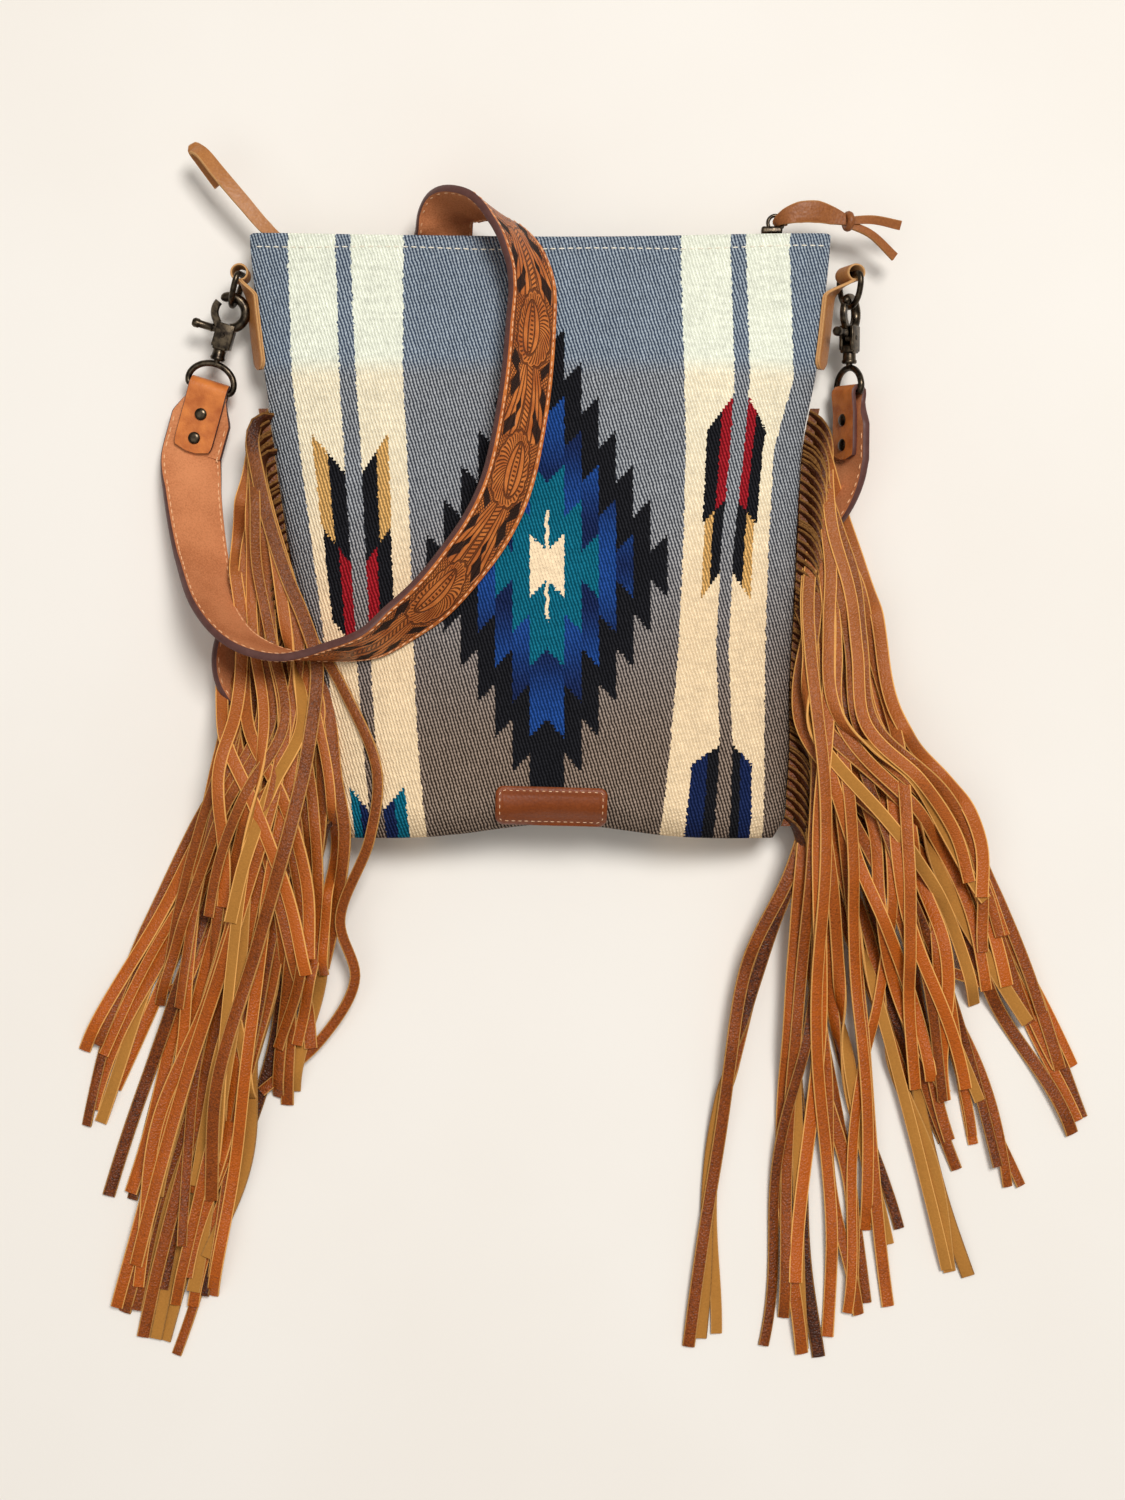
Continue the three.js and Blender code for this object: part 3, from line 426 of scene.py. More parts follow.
def turned(bm: Shape, profile: Sequence[tuple[float, float]], steps: int, place: Matrix) -> None:
    """Spins a profile of radius and height round the local Z axis.

    Args:
        bm: Mesh that takes the shape.
        profile: Radius and height of each point, from end to end.
        steps: Sides of the round.
        place: Where the shape goes.
    """
    verts = [bm.verts.new((radius, 0.0, height)) for radius, height in profile]
    edges = [bm.edges.new(pair) for pair in zip(verts, verts[1:])]
    bmesh.ops.spin(bm, geom=[*verts, *edges], cent=(0, 0, 0), axis=(0, 0, 1), dvec=(0, 0, 0),
                   angle=2 * math.pi, steps=steps, use_merge=True, use_duplicate=False)
    fresh = set(verts)
    front = list(verts)
    while front:
        vert = front.pop()
        for edge in vert.link_edges:
            other = edge.other_vert(vert)
            if other not in fresh:
                fresh.add(other)
                front.append(other)
    bmesh.ops.transform(bm, matrix=place, verts=list(fresh))


def drawing_shift() -> Array:
    """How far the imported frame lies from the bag's drawing, in millimetres.

    Returns:
        The shift along each axis.
    """
    low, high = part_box("woven_body")
    half, centre = BODY_ROWS[-1][0], BODY_ROWS[-1][1]
    return np.array([low.x / MM - (centre - half), high.y / MM - TOP_Y, 0.0])


SHIFT = drawing_shift()


def frame_point(x: float, y: float, z: float) -> Vector:
    """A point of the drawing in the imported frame."""
    return Vector((np.array([x, y, z]) + SHIFT) * MM)


def settle(
    bm: Shape,
    name: str,
    materials: Leaves,
    sharp: float = 42.0,
    place: Matrix | None = None,
) -> Piece:
    """Closes a mesh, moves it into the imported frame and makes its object.

    Args:
        bm: The mesh, in the drawing's millimetres, which is freed.
        name: Name of the piece.
        materials: Its material slots.
        sharp: Angle in degrees above which an edge stays sharp.
        place: Where the mesh goes in the drawing, if it was made about the origin.

    Returns:
        The object.
    """
    if place is not None:
        bmesh.ops.transform(bm, matrix=place, verts=bm.verts)
    bmesh.ops.remove_doubles(bm, verts=bm.verts, dist=MERGE_GAP)
    bmesh.ops.dissolve_degenerate(bm, edges=bm.edges, dist=SLIVER)
    bmesh.ops.holes_fill(bm, edges=[edge for edge in bm.edges if edge.is_boundary], sides=0)
    bmesh.ops.recalc_face_normals(bm, faces=bm.faces)
    bmesh.ops.translate(bm, verts=bm.verts, vec=SHIFT)
    bmesh.ops.scale(bm, verts=bm.verts, vec=(MM, MM, MM))
    mesh = bpy.data.meshes.new(name)
    bm.to_mesh(mesh)
    bm.free()
    return finished(mesh, name, materials, sharp)


def finished(mesh: bpy.types.Mesh, name: str, materials: Leaves, sharp: float) -> Piece:
    """Object of a mesh, smooth shaded with its sharp edges kept.

    Args:
        mesh: The mesh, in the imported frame.
        name: Name of the piece.
        materials: Its material slots.
        sharp: Angle in degrees above which an edge stays sharp.

    Returns:
        The object.
    """
    mesh.shade_smooth()
    mesh.set_sharp_from_angle(angle=math.radians(sharp))
    for material in materials:
        mesh.materials.append(material)
    obj = bpy.data.objects.new(name, mesh)
    bpy.context.scene.collection.objects.link(obj)
    return obj


def scattered(
    template: Shape,
    points: Array,
    along: Array,
    normal: Array,
    name: str,
    material: Material,
) -> Piece:
    """Copies a small shape to many places, joined as one mesh.

    Args:
        template: The shape, lying along its X axis with Z up, which is freed.
        points: Where each copy goes.
        along: Direction of each copy's X axis.
        normal: Direction of each copy's Z axis, or one for all.
        name: Name of the piece.
        material: Its finish.

    Returns:
        The object.
    """
    template.verts.index_update()
    shape = np.array([vert.co for vert in template.verts])
    faces = [[vert.index for vert in face.verts] for face in template.faces]
    template.free()
    along = unit(along)
    up = unit(normal - along * np.sum(normal * along, axis=1, keepdims=True))
    across = np.cross(up, along)
    axes = np.stack([along, across, up], axis=1)
    verts = (np.einsum("vk,nkd->nvd", shape, axes) + points[:, None]).reshape(-1, 3)
    count = len(shape)
    joined = [[index + n * count for index in face] for n in range(len(points)) for face in faces]
    mesh = bpy.data.meshes.new(name)
    mesh.from_pydata(((verts + SHIFT) * MM).tolist(), [], joined)
    return finished(mesh, name, [material], 50.0)


def stitch_shape(length: float, width: float) -> Shape:
    """One stitch of thread, lying along X.

    Args:
        length: Its length.
        width: Its width.

    Returns:
        The shape.
    """
    bm = bmesh.new()
    lying = Matrix.Rotation(math.pi / 2, 4, "Y")
    bmesh.ops.create_uvsphere(bm, u_segments=6, v_segments=5, radius=0.5, matrix=lying)
    bmesh.ops.scale(bm, verts=bm.verts, vec=(length, width, width * 0.8))
    return bm


def dress(obj: Piece, body: str, slot: str, *nodes: str) -> Piece:
    """Makes a piece ride on its body and stand for nodes.

    Args:
        obj: The piece.
        body: Body that it moves with.
        slot: Material slot of the record; not used.
        nodes: Nodes that it replaces.

    Returns:
        The piece.
    """
    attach(obj, body)
    if nodes:
        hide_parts(*nodes)
    log.info("%s rides on %s, %d faces", obj.name, body, len(obj.data.polygons))
    return obj


# Finishes

def rgb(red: float, green: float, blue: float) -> Colour:
    """Colour as a screen shows it, from 0 to 255, made linear.

    Args:
        red: Red part.
        green: Green part.
        blue: Blue part.

    Returns:
        The colour.
    """
    def channel(value: float) -> float:
        """One channel made linear."""
        share = value / 255.0
        return share / 12.92 if share <= 0.04045 else ((share + 0.055) / 1.055) ** 2.4

    return channel(red), channel(green), channel(blue), 1.0


def shaded(colour: Colour, scale: float, lift: float = 0.0) -> Colour:
    """The colour made darker or lighter."""
    return tuple(part * scale + lift for part in colour[:3]) + (1.0,)


class Field:
    """A number that varies over a surface; arithmetic on it lays Math nodes."""

    def __init__(self, tree: bpy.types.NodeTree, socket: Socket) -> None:
        """Keeps the socket that gives the number."""
        self.tree = tree
        self.socket = socket

    def apply(self, operation: str, *others: "Field | float", first: float | None = None) -> "Field":
        """Lays one Math node.

        Args:
            operation: Name of the operation.
            others: Further inputs.
            first: A number that stands before this field.

        Returns:
            The result.
        """
        node = self.tree.nodes.new("ShaderNodeMath")
        node.operation = operation
        terms = (self, *others) if first is None else (first, self)
        for socket, term in zip(node.inputs, terms):
            if isinstance(term, Field):
                self.tree.links.new(term.socket, socket)
            else:
                socket.default_value = term
        return Field(self.tree, node.outputs[0])

    def __add__(self, other: "Field | float") -> "Field":
        """Sum."""
        return self.apply("ADD", other)

    __radd__ = __add__

    def __sub__(self, other: "Field | float") -> "Field":
        """Difference."""
        return self.apply("SUBTRACT", other)

    def __rsub__(self, other: float) -> "Field":
        """Difference from a number."""
        return self.apply("SUBTRACT", first=other)

    def __mul__(self, other: "Field | float") -> "Field":
        """Product, or both where each is 0 or 1."""
        return self.apply("MULTIPLY", other)

    __rmul__ = __mul__

    def __truediv__(self, other: "Field | float") -> "Field":
        """Quotient."""
        return self.apply("DIVIDE", other)

    def __lt__(self, other: "Field | float") -> "Field":
        """1 where less."""
        return self.apply("LESS_THAN", other)

    def __gt__(self, other: "Field | float") -> "Field":
        """1 where more."""
        return self.apply("GREATER_THAN", other)

    def __abs__(self) -> "Field":
        """Size without sign."""
        return self.apply("ABSOLUTE")

    def whole(self) -> "Field":
        """Whole part."""
        return self.apply("FLOOR")

    def rest(self) -> "Field":
        """Part after the point."""
        return self.apply("FRACT")

    def wave(self, period: float = 1.0) -> "Field":
        """Cosine from 0 to 1 and back over a period."""
        return (self * (2 * math.pi / period)).apply("COSINE") * 0.5 + 0.5

    def high(self, other: "Field | float") -> "Field":
        """The larger one."""
        return self.apply("MAXIMUM", other)

    def low(self, other: "Field | float") -> "Field":
        """The smaller one."""
        return self.apply("MINIMUM", other)

    def ramp(self, start: float, end: float) -> "Field":
        """Smooth rise from 0 at start to 1 at end.

        Args:
            start: Where the rise starts.
            end: Where it ends.

        Returns:
            The rise.
        """
        node = self.tree.nodes.new("ShaderNodeMapRange")
        node.interpolation_type = "SMOOTHSTEP"
        self.tree.links.new(self.socket, node.inputs["Value"])
        node.inputs["From Min"].default_value = start
        node.inputs["From Max"].default_value = end
        return Field(self.tree, node.outputs["Result"])


Paint = Colour | Socket


class Finish:
    """A material being laid: its nodes, and short ways to add to them."""

    def __init__(self, name: str, roughness: float, metallic: float = 0.0, gloss: float = 0.25) -> None:
        """Makes the material with a plain shader.

        Args:
            name: Name of the material.
            roughness: Its roughness.
            metallic: 1 for metal.
            gloss: Strength of its mirror light.
        """
        self.material = bpy.data.materials.new(name)
        self.material.use_nodes = True
        self.tree = self.material.node_tree
        self.shader = self.tree.nodes["Principled BSDF"]
        self.shader.inputs["Roughness"].default_value = roughness
        self.shader.inputs["Metallic"].default_value = metallic
        self.shader.inputs["Specular IOR Level"].default_value = gloss
        self.where = self.tree.nodes.new("ShaderNodeTexCoord")

    def drawing(self) -> tuple[Field, Field, Field]:
        """Place on the object in the drawing's millimetres.

        Returns:
            The x, y and z.
        """
        split = self.tree.nodes.new("ShaderNodeSeparateXYZ")
        self.tree.links.new(self.where.outputs["Object"], split.inputs[0])
        raw = [Field(self.tree, socket) for socket in split.outputs]
        return tuple(number * (1 / MM) - float(shift) for number, shift in zip(raw, SHIFT))

    def value(self, name: str) -> Field:
        """Number kept on the mesh's points under a name.

        Args:
            name: The name.

        Returns:
            The number.
        """
        node = self.tree.nodes.new("ShaderNodeAttribute")
        node.attribute_name = name
        return Field(self.tree, node.outputs["Fac"])

    def noise(self, size: float, detail: float = 2.0, stretch: Sequence[float] = (1, 1, 1)) -> Field:
        """Soft noise of a size in millimetres, from 0 to 1.

        Args:
            size: Size of its lumps.
            detail: Finer octaves.
            stretch: How much finer it is along each axis.

        Returns:
            The noise.
        """
        mapping = self.tree.nodes.new("ShaderNodeMapping")
        mapping.inputs["Scale"].default_value = stretch
        self.tree.links.new(self.where.outputs["Object"], mapping.inputs["Vector"])
        node = self.tree.nodes.new("ShaderNodeTexNoise")
        node.inputs["Scale"].default_value = 1.0 / (size * MM)
        node.inputs["Detail"].default_value = detail
        self.tree.links.new(mapping.outputs[0], node.inputs["Vector"])
        return Field(self.tree, node.outputs["Fac"])

    def pebble(self, size: float) -> Field:
        """Distance to the cells of leather grain of a size in millimetres.

        Args:
            size: Size of a cell.

        Returns:
            The distance.
        """
        node = self.tree.nodes.new("ShaderNodeTexVoronoi")
        node.inputs["Scale"].default_value = 1.0 / (size * MM)
        self.tree.links.new(self.where.outputs["Object"], node.inputs["Vector"])
        return Field(self.tree, node.outputs["Distance"])

    def blend(self, share: Field, low: Paint, high: Paint) -> Socket:
        """Colour between two by a share.

        Args:
            share: 0 for the first colour and 1 for the second.
            low: First colour.
            high: Second colour.

        Returns:
            The colour's socket.
        """
        node = self.tree.nodes.new("ShaderNodeMix")
        node.data_type = "RGBA"
        self.tree.links.new(share.socket, node.inputs[0])
        for socket, paint in ((node.inputs[6], low), (node.inputs[7], high)):
            if isinstance(paint, tuple):
                socket.default_value = paint
            else:
                self.tree.links.new(paint, socket)
        return node.outputs[2]

    def colour(self, paint: Socket) -> "Finish":
        """Gives the shader its colour."""
        self.tree.links.new(paint, self.shader.inputs["Base Color"])
        return self

    def rough(self, number: Field) -> "Finish":
        """Gives the shader a roughness that varies."""
        self.tree.links.new(number.socket, self.shader.inputs["Roughness"])
        return self

    def bump(self, height: Field, depth: float) -> "Finish":
        """Gives the shader a relief.

        Args:
            height: Relief from 0 to 1.
            depth: Its depth in millimetres.

        Returns:
            The finish itself.
        """
        node = self.tree.nodes.new("ShaderNodeBump")
        node.inputs["Strength"].default_value = 1.0
        node.inputs["Distance"].default_value = depth * MM
        self.tree.links.new(height.socket, node.inputs["Height"])
        self.tree.links.new(node.outputs[0], self.shader.inputs["Normal"])
        return self


@dataclass(frozen=True)
class WovenWool:
    """Thick weft-faced wool: stripes, a stepped diamond and small stepped motifs."""

    rib: float = 1.75
    row: float = 1.8
    diamond_x: float = 1.3
    diamond_y: float = -18.5
    column: float = 8.83
    step: float = 17.9
    slant: float = 0.51
    black: Colour = rgb(20, 20, 24)
    navy: Colour = rgb(18, 32, 70)
    royal: Colour = rgb(25, 64, 128)
    teal: Colour = rgb(5, 94, 115)
    red: Colour = rgb(144, 20, 30)
    gold: Colour = rgb(200, 154, 90)
    cream_top: tuple[Colour, Colour] = (rgb(226, 228, 206), rgb(243, 244, 226))
    cream_middle: tuple[Colour, Colour] = (rgb(230, 214, 180), rgb(248, 237, 209))
    cream: tuple[Colour, Colour] = (rgb(226, 197, 156), rgb(246, 219, 180))
    grey_top: tuple[Colour, Colour] = (rgb(56, 68, 86), rgb(162, 172, 180))
    grey_middle: tuple[Colour, Colour] = (rgb(56, 60, 68), rgb(170, 172, 174))
    grey_low: tuple[Colour, Colour] = (rgb(48, 38, 31), rgb(156, 136, 120))

    def material(self) -> Material:
        """Material of the cloth.

        Returns:
            The material.
        """
        f = Finish("woven_wool", 0.95, gloss=0.05)
        x, y, z = f.drawing()
        wander = f.noise(3.4, 2.0) * 0.75
        rib = (x / self.rib + y / (3.2 * self.rib) + wander).wave()
        grain = rib * ((y / self.row - x / 9.0 + wander).wave() * 0.62 + 0.42)
        tooth = (f.noise(1.9, 1.0) - 0.5) * 1.7
        rows = (y / self.row).whole() * self.row + tooth * 2.0
        stripe = f.value("stripe") + tooth * 1.6
        front = z > 24.0
        raised = grain.ramp(0.1, 0.6)
        yarns = self.yarns(f, raised)
        paint = self.stripes(f, stripe, y, raised)
        paint = self.diamond(f, paint, x + tooth, rows, front, yarns)
        paint = self.motifs(f, paint, stripe, rows, front, yarns)
        # Painted light and shade multiplied over the cloth: darker between the threads, with soft lumps and
        # long streaks that stand partly for uneven yarn and partly for painted shade.
        streak = f.noise(26.0, 3.0, (1.0, 12.0, 1.0)) * 0.34 + f.noise(30.0, 2.0, (5.0, 1.0, 1.0)) * 0.2
        lit = grain * 0.2 + f.noise(2.6, 3.0) * 0.5 + streak + 0.44
        node = f.tree.nodes.new("ShaderNodeMix")
        node.data_type = "RGBA"
        node.blend_type = "MULTIPLY"
        node.inputs[0].default_value = 1.0
        f.tree.links.new(paint, node.inputs[6])
        f.tree.links.new(lit.socket, node.inputs[7])
        return f.colour(node.outputs[2]).bump(grain + f.noise(0.9, 2.0) * 0.4, 0.5).material

    def yarns(self, f: Finish, grain: Field) -> dict[str, Socket]:
        """Colours of the pattern, each darker between the threads and lighter on them: painted shade and
        highlight.

        Args:
            f: The finish being laid.
            grain: 0 between the threads and 1 on them.

        Returns:
            The colours by name.
        """
        plain = {name: getattr(self, name) for name in ("black", "navy", "royal", "teal", "red", "gold")}
        return {name: f.blend(grain, shaded(paint, 0.55), shaded(paint, 1.4, 0.008))
                for name, paint in plain.items()}

    def stripes(self, f: Finish, stripe: Field, y: Field, grain: Field) -> Socket:
        """Cream pairs on grey; cooler towards the mouth, which is painted light, and warmer and darker
        towards the base, which is partly painted shade.

        Args:
            f: The finish being laid.
            stripe: Place across the flat cloth.
            y: Level.
            grain: 0 between the threads and 1 on them.

        Returns:
            The colour.
        """
        across = abs(stripe)
        inner, outer = -FLAT_BORDERS[3], FLAT_BORDERS[-1]
        pair = (across > inner) * (across < outer)
        line = abs(across - LINE_CENTRE) < LINE_HALF
        # Painted light: the cloth near the mouth turns cooler, as if lit differently from the rest.
        cool = y.ramp(80.0, 94.0)
        tones = (
            self.grey_low, self.grey_middle, self.grey_top, self.cream, self.cream_middle, self.cream_top)
        # Each tone is darker between the threads and lighter on them: painted shade and highlight.
        grey_low, grey_middle, grey_top, cream_low, cream_middle, cream_top = (
            f.blend(grain, *two) for two in tones)
        # Darker and warmer towards the base: partly the cloth's own colour, partly painted shade from the
        # fringe.
        grey = f.blend(cool, f.blend(y.ramp(-125.0, 40.0), grey_low, grey_middle), grey_top)
        cream = f.blend(cool, f.blend(y.ramp(-50.0, 70.0), cream_low, cream_middle), cream_top)
        return f.blend(pair * (1.0 - line), grey, cream)

    def diamond(
        self, f: Finish, paint: Paint, x: Field, y: Field, front: Field, yarns: dict[str, Socket]
    ) -> Socket:
        """Stepped diamond in four colours with a thin zigzag line in its middle.

        Args:
            f: The finish being laid.
            paint: Colour under it.
            x: Place across the front.
            y: Level.
            front: 1 on the front.
            yarns: Colours by name.

        Returns:
            The colour.
        """
        across = abs(x - self.diamond_x) / self.column
        up = abs(y - self.diamond_y) / self.step
        level = up + across.whole() + (1.0 - across.rest()) * self.slant
        shade = (across.whole() * 2.0 + up * 0.7).wave(3.1)
        blue = f.blend(shade, yarns["navy"], yarns["royal"])
        rings = ((6.91, yarns["black"]), (4.91, blue), (2.91, yarns["teal"]), (0.91, self.cream[1]))
        for limit, colour in rings:
            paint = f.blend((level < limit) * front, paint, colour)
        swing = (y - self.diamond_y).wave(9.0) * 0.7
        thread = (abs(x - self.diamond_x + 0.35 - swing) < 0.9) * (up < 1.55)
        return f.blend(thread * front, paint, self.cream[1])

    def motifs(
        self, f: Finish, paint: Paint, stripe: Field, y: Field, front: Field, yarns: dict[str, Socket]
    ) -> Socket:
        """Feather-like pairs of bands beside the thin lines of the stripes.

        Args:
            f: The finish being laid.
            paint: Colour under them.
            stripe: Place across the flat cloth.
            y: Level.
            front: 1 on the front.
            yarns: Colours by name.

        Returns:
            The colour.
        """
        off = abs(abs(stripe) - LINE_CENTRE) - LINE_HALF
        outward = off / 14.0
        left = (stripe < 0.0) * front
        right = (stripe > 0.0) * front
        # side, split, reach, top and foot at the line and at the outer edge, inner and outer colour
        bands = (
            (left, 8.0, 14.5, (30.0, 50.0), (-16.5, 1.5), "black", "gold"),
            (left, 6.2, 14.0, (-16.5, 1.5), (-62.0, -46.0), "red", "black"),
            (left, 7.0, 14.0, (-144.0, -132.0), (-170.0, -170.0), "navy", "teal"),
            (right, 5.6, 13.0, (70.5, 50.5), (16.0, 2.5), "red", "black"),
            (right, 6.4, 11.5, (16.0, 2.5), (-21.5, -38.5), "black", "gold"),
            (right, 5.4, 13.0, (-110.5, -121.0), (-170.0, -170.0), "black", "navy"),
        )
        for side, split, reach, top, foot, inner, outer in bands:
            below = y < outward * (top[1] - top[0]) + top[0]
            above = y > outward * (foot[1] - foot[0]) + foot[0]
            inside = side * below * above * (off > 0.0) * (off < reach)
            paint = f.blend(inside, paint, f.blend(off > split, yarns[inner], yarns[outer]))
        return paint


@dataclass(frozen=True)
class StripLeather:
    """Grain, flesh and cut edge of a soft leather."""

    name: str
    dark: Colour
    light: Colour
    flesh: Colour
    edge: Colour
    pebble: float = 1.3
    depth: float = 0.22
    foot: Colour | None = None

    def materials(self) -> list[Material]:
        """Materials of the three leaves, in the order of their slots.

        Returns:
            The materials of grain, flesh and edge.
        """
        grain = Finish(f"{self.name}_grain", 0.52)
        mottle = grain.noise(14.0, 3.0) * 0.4 + grain.noise(1.1, 3.0) * 0.9
        light = self.light
        if self.foot is not None:
            light = grain.blend(grain.drawing()[1].ramp(-260.0, 0.0), self.foot, self.light)
        # The kept tone holds each strip's own shade and, on the fringe, painted shade at the roots and low
        # in the pile.
        grain.colour(grain.blend(grain.value("tone") * 0.9 + mottle * 1.1 - 0.56, self.dark, light))
        grain.rough(grain.noise(3.0, 2.0) * 0.3 + 0.27)
        grain.bump(grain.pebble(self.pebble) + grain.noise(0.8, 2.0) * 0.6, self.depth)
        flesh = Finish(f"{self.name}_flesh", 0.9, gloss=0.08)
        nap = flesh.noise(1.2, 4.0)
        flesh.colour(flesh.blend(nap * 0.7 + flesh.noise(12.0) * 0.3, shaded(self.flesh, 0.62), self.flesh))
        flesh.bump(nap, 0.25)
        edge = Finish(f"{self.name}_edge", 0.8, gloss=0.1)
        fibre = edge.noise(1.0, 3.0)
        pale = fibre * 0.5 + edge.value("tone") * 0.7 + 0.1
        edge.colour(edge.blend(pale, self.dark, self.edge)).bump(fibre, 0.15)
        return [grain.material, flesh.material, edge.material]


@dataclass(frozen=True)
class FloralTooling:
    """Carved vine along a strap: long scalloped flowers, each on a beaded stem between sweeping leaves."""

    period: float = 74.0
    flower_at: float = 20.0
    flower_half: float = 19.5
    flower_wide: float = 10.6
    stem_from: float = 36.0
    stem_run: float = 40.0
    border: float = 12.7

    # Sunk pockets: middle along and across, half length and width, slope
    pockets = (
        (42.5, 9.6, 7.0, 3.6, 0.34), (41.5, -8.8, 7.5, 3.8, -0.3), (58.5, 10.2, 7.5, 2.8, 0.2),
        (63.0, -9.4, 8.5, 3.2, -0.26), (52.0, -5.4, 5.0, 1.5, -0.16), (49.5, 6.0, 5.0, 1.5, 0.16),
        (1.0, 9.8, 7.0, 3.2, -0.3), (0.0, -10.2, 6.0, 2.8, 0.3),
    )

    def carve(self, f: Finish) -> tuple[Field, Field]:
        """Sunk ground and cut lines of the carving, each from 0 to 1.

        Args:
            f: The finish being laid, on a mesh that keeps its run and its place across.

        Returns:
            The ground and the lines.
        """
        run, across = f.value("run"), f.value("across")
        turn = 1.0 - (run / self.period).whole().apply("PINGPONG", 1.0) * 2.0
        place = (run / self.period).rest() * self.period
        bent = across * turn + (place / self.period - 0.25).wave() * 2.2 - 1.1
        ground, lines = self.leaves(place, bent)
        petal, marks = self.flower(place, bent)
        ground = ground * (1.0 - petal)
        lines = lines * (1.0 - petal) + marks
        edge = abs(across)
        inner = 1.0 - edge.ramp(self.border - 0.25, self.border + 0.25)
        rim = self.stroke(edge - self.border, 0.4)
        return ground * inner, (lines * inner).high(rim).low(1.0)

    def stroke(self, gap: Field, width: float) -> Field:
        """Soft line where a distance is near 0."""
        return 1.0 - abs(gap).ramp(width * 0.35, width)

    def leaves(self, place: Field, across: Field) -> tuple[Field, Field]:
        """Leaves that sweep out beside the beaded stem between two flowers.

        Args:
            place: Place along one period.
            across: Place across the strap, along the vine's bend.

        Returns:
            The sunk pockets between them and the lines on them.
        """
        t = ((place - self.stem_from) / self.period).rest() * (self.period / self.stem_run)
        side = abs(across)
        reach = (1.0 - t).high(0.0).apply("POWER", 0.8) * 11.5 + 5.0
        sweep_line = side / reach
        lines = (sweep_line * 4.6).wave().ramp(0.72, 0.93)
        hatch = (t * (self.stem_run / 2.0) - side / 2.2).wave().ramp(0.7, 0.9)
        hatch = hatch * (sweep_line > 0.87) * (t > 0.3)
        stem = side < 2.0
        beads = (t * (self.stem_run / 2.5) + across / 4.0).wave().ramp(0.6, 0.85) * stem
        ground = self.pocket(place, across, *self.pockets[0])
        for row in self.pockets[1:]:
            ground = ground.high(self.pocket(place, across, *row))
        return ground, (lines * (side > 1.7)).high(hatch).high(beads).high(self.stroke(side - 2.0, 0.45))

    def pocket(
        self, place: Field, across: Field, middle: float, out: float, long: float, wide: float, slope: float
    ) -> Field:
        """A sunk, pointed pocket between leaves.

        Args:
            place: Place along one period.
            across: Place across the strap, along the vine's bend.
            middle: Its middle along the period.
            out: Its middle across the strap.
            long: Half its length.
            wide: Half its width.
            slope: How it leans.

        Returns:
            1 in the pocket and 0 outside.
        """
        run = ((place - (middle - self.period / 2)) / self.period).rest() * self.period - self.period / 2
        gap = abs(run) / long + abs(across - out + run * slope) / wide
        return 1.0 - gap.ramp(0.85, 1.1)

    def flower(self, place: Field, across: Field) -> tuple[Field, Field]:
        """A long flower: a hatched, scalloped rim beside smooth petals with a beaded heart.

        Args:
            place: Place along one period.
            across: Place across the strap, along the vine's bend.

        Returns:
            The flower's face and the lines on it.
        """
        p = (place - self.flower_at) / self.flower_half
        q = across / self.flower_wide / (1.0 - p * 0.16)
        r = (p * p + q * q).apply("SQRT")
        angle = q.apply("ARCTAN2", p)
        inside = 1.0 - r + abs((angle * 8.0).apply("COSINE")) * 0.07
        ticks = ((angle + r * 0.6) * (38.0 / (2 * math.pi))).wave().ramp(0.55, 0.8)
        heart = q - 0.2
        inner = 0.62 - (p * p * 0.7 + heart * heart * 1.5).apply("SQRT")
        rim = ticks * inside.ramp(0.07, 0.12) * (1.0 - inner.ramp(-0.08, -0.02))
        petals = self.stroke(abs(heart) - 0.2 + p * p * 0.3, 0.055) * (inner > 0.0)
        beads = (place / 2.4).wave().ramp(0.55, 0.8) * (abs(heart) < 0.09) * (inner > 0.06)
        marks = rim.high(self.stroke(inner, 0.05)).high(petals).high(beads).high(self.stroke(inside, 0.06))
        return inside.ramp(-0.02, 0.02), marks * inside.ramp(-0.09, -0.05)


@dataclass(frozen=True)
class ToolingLeather:
    """Floral tooled strap leather with painted edges and a smooth flesh side."""

    raised: Colour = rgb(216, 127, 60)
    warm: Colour = rgb(174, 90, 38)
    line: Colour = rgb(88, 43, 19)
    deep: Colour = rgb(38, 20, 12)
    flesh: Colour = rgb(214, 139, 92)
    flesh_dark: Colour = rgb(174, 103, 62)
    edge: Colour = rgb(74, 44, 38)
    edge_light: Colour = rgb(104, 68, 62)

    def materials(self) -> list[Material]:
        """Materials of the three leaves, in the order of their slots.

        Returns:
            The materials of grain, flesh and edge.
        """
        grain = Finish("tooled_grain", 0.42)
        ground, cut = FloralTooling().carve(grain)
        body = grain.blend(grain.noise(9.0, 3.0).ramp(0.25, 0.75), self.warm, self.raised)
        paint = grain.blend(ground * 0.98, grain.blend(cut * 0.9, body, self.line), self.deep)
        grain.colour(paint).rough(ground * 0.25 + 0.38)
        matting = ground * (grain.noise(0.7, 1.0) * 0.4 - 0.9)
        grain.bump(matting - cut * 0.8 + grain.pebble(0.9) * 0.12, 0.85)
        flesh = Finish("strap_flesh", 0.72, gloss=0.1)
        nap = flesh.noise(0.9, 3.0)
        fibre = (nap * 0.5 + flesh.noise(24.0) * 0.5).ramp(0.25, 0.7)
        flesh.colour(flesh.blend(fibre, self.flesh_dark, self.flesh)).bump(nap, 0.15)
        edge = Finish("strap_edge", 0.45)
        edge.colour(edge.blend(edge.noise(4.0, 3.0), self.edge, self.edge_light)).bump(edge.noise(1.5), 0.1)
        return [grain.material, flesh.material, edge.material]


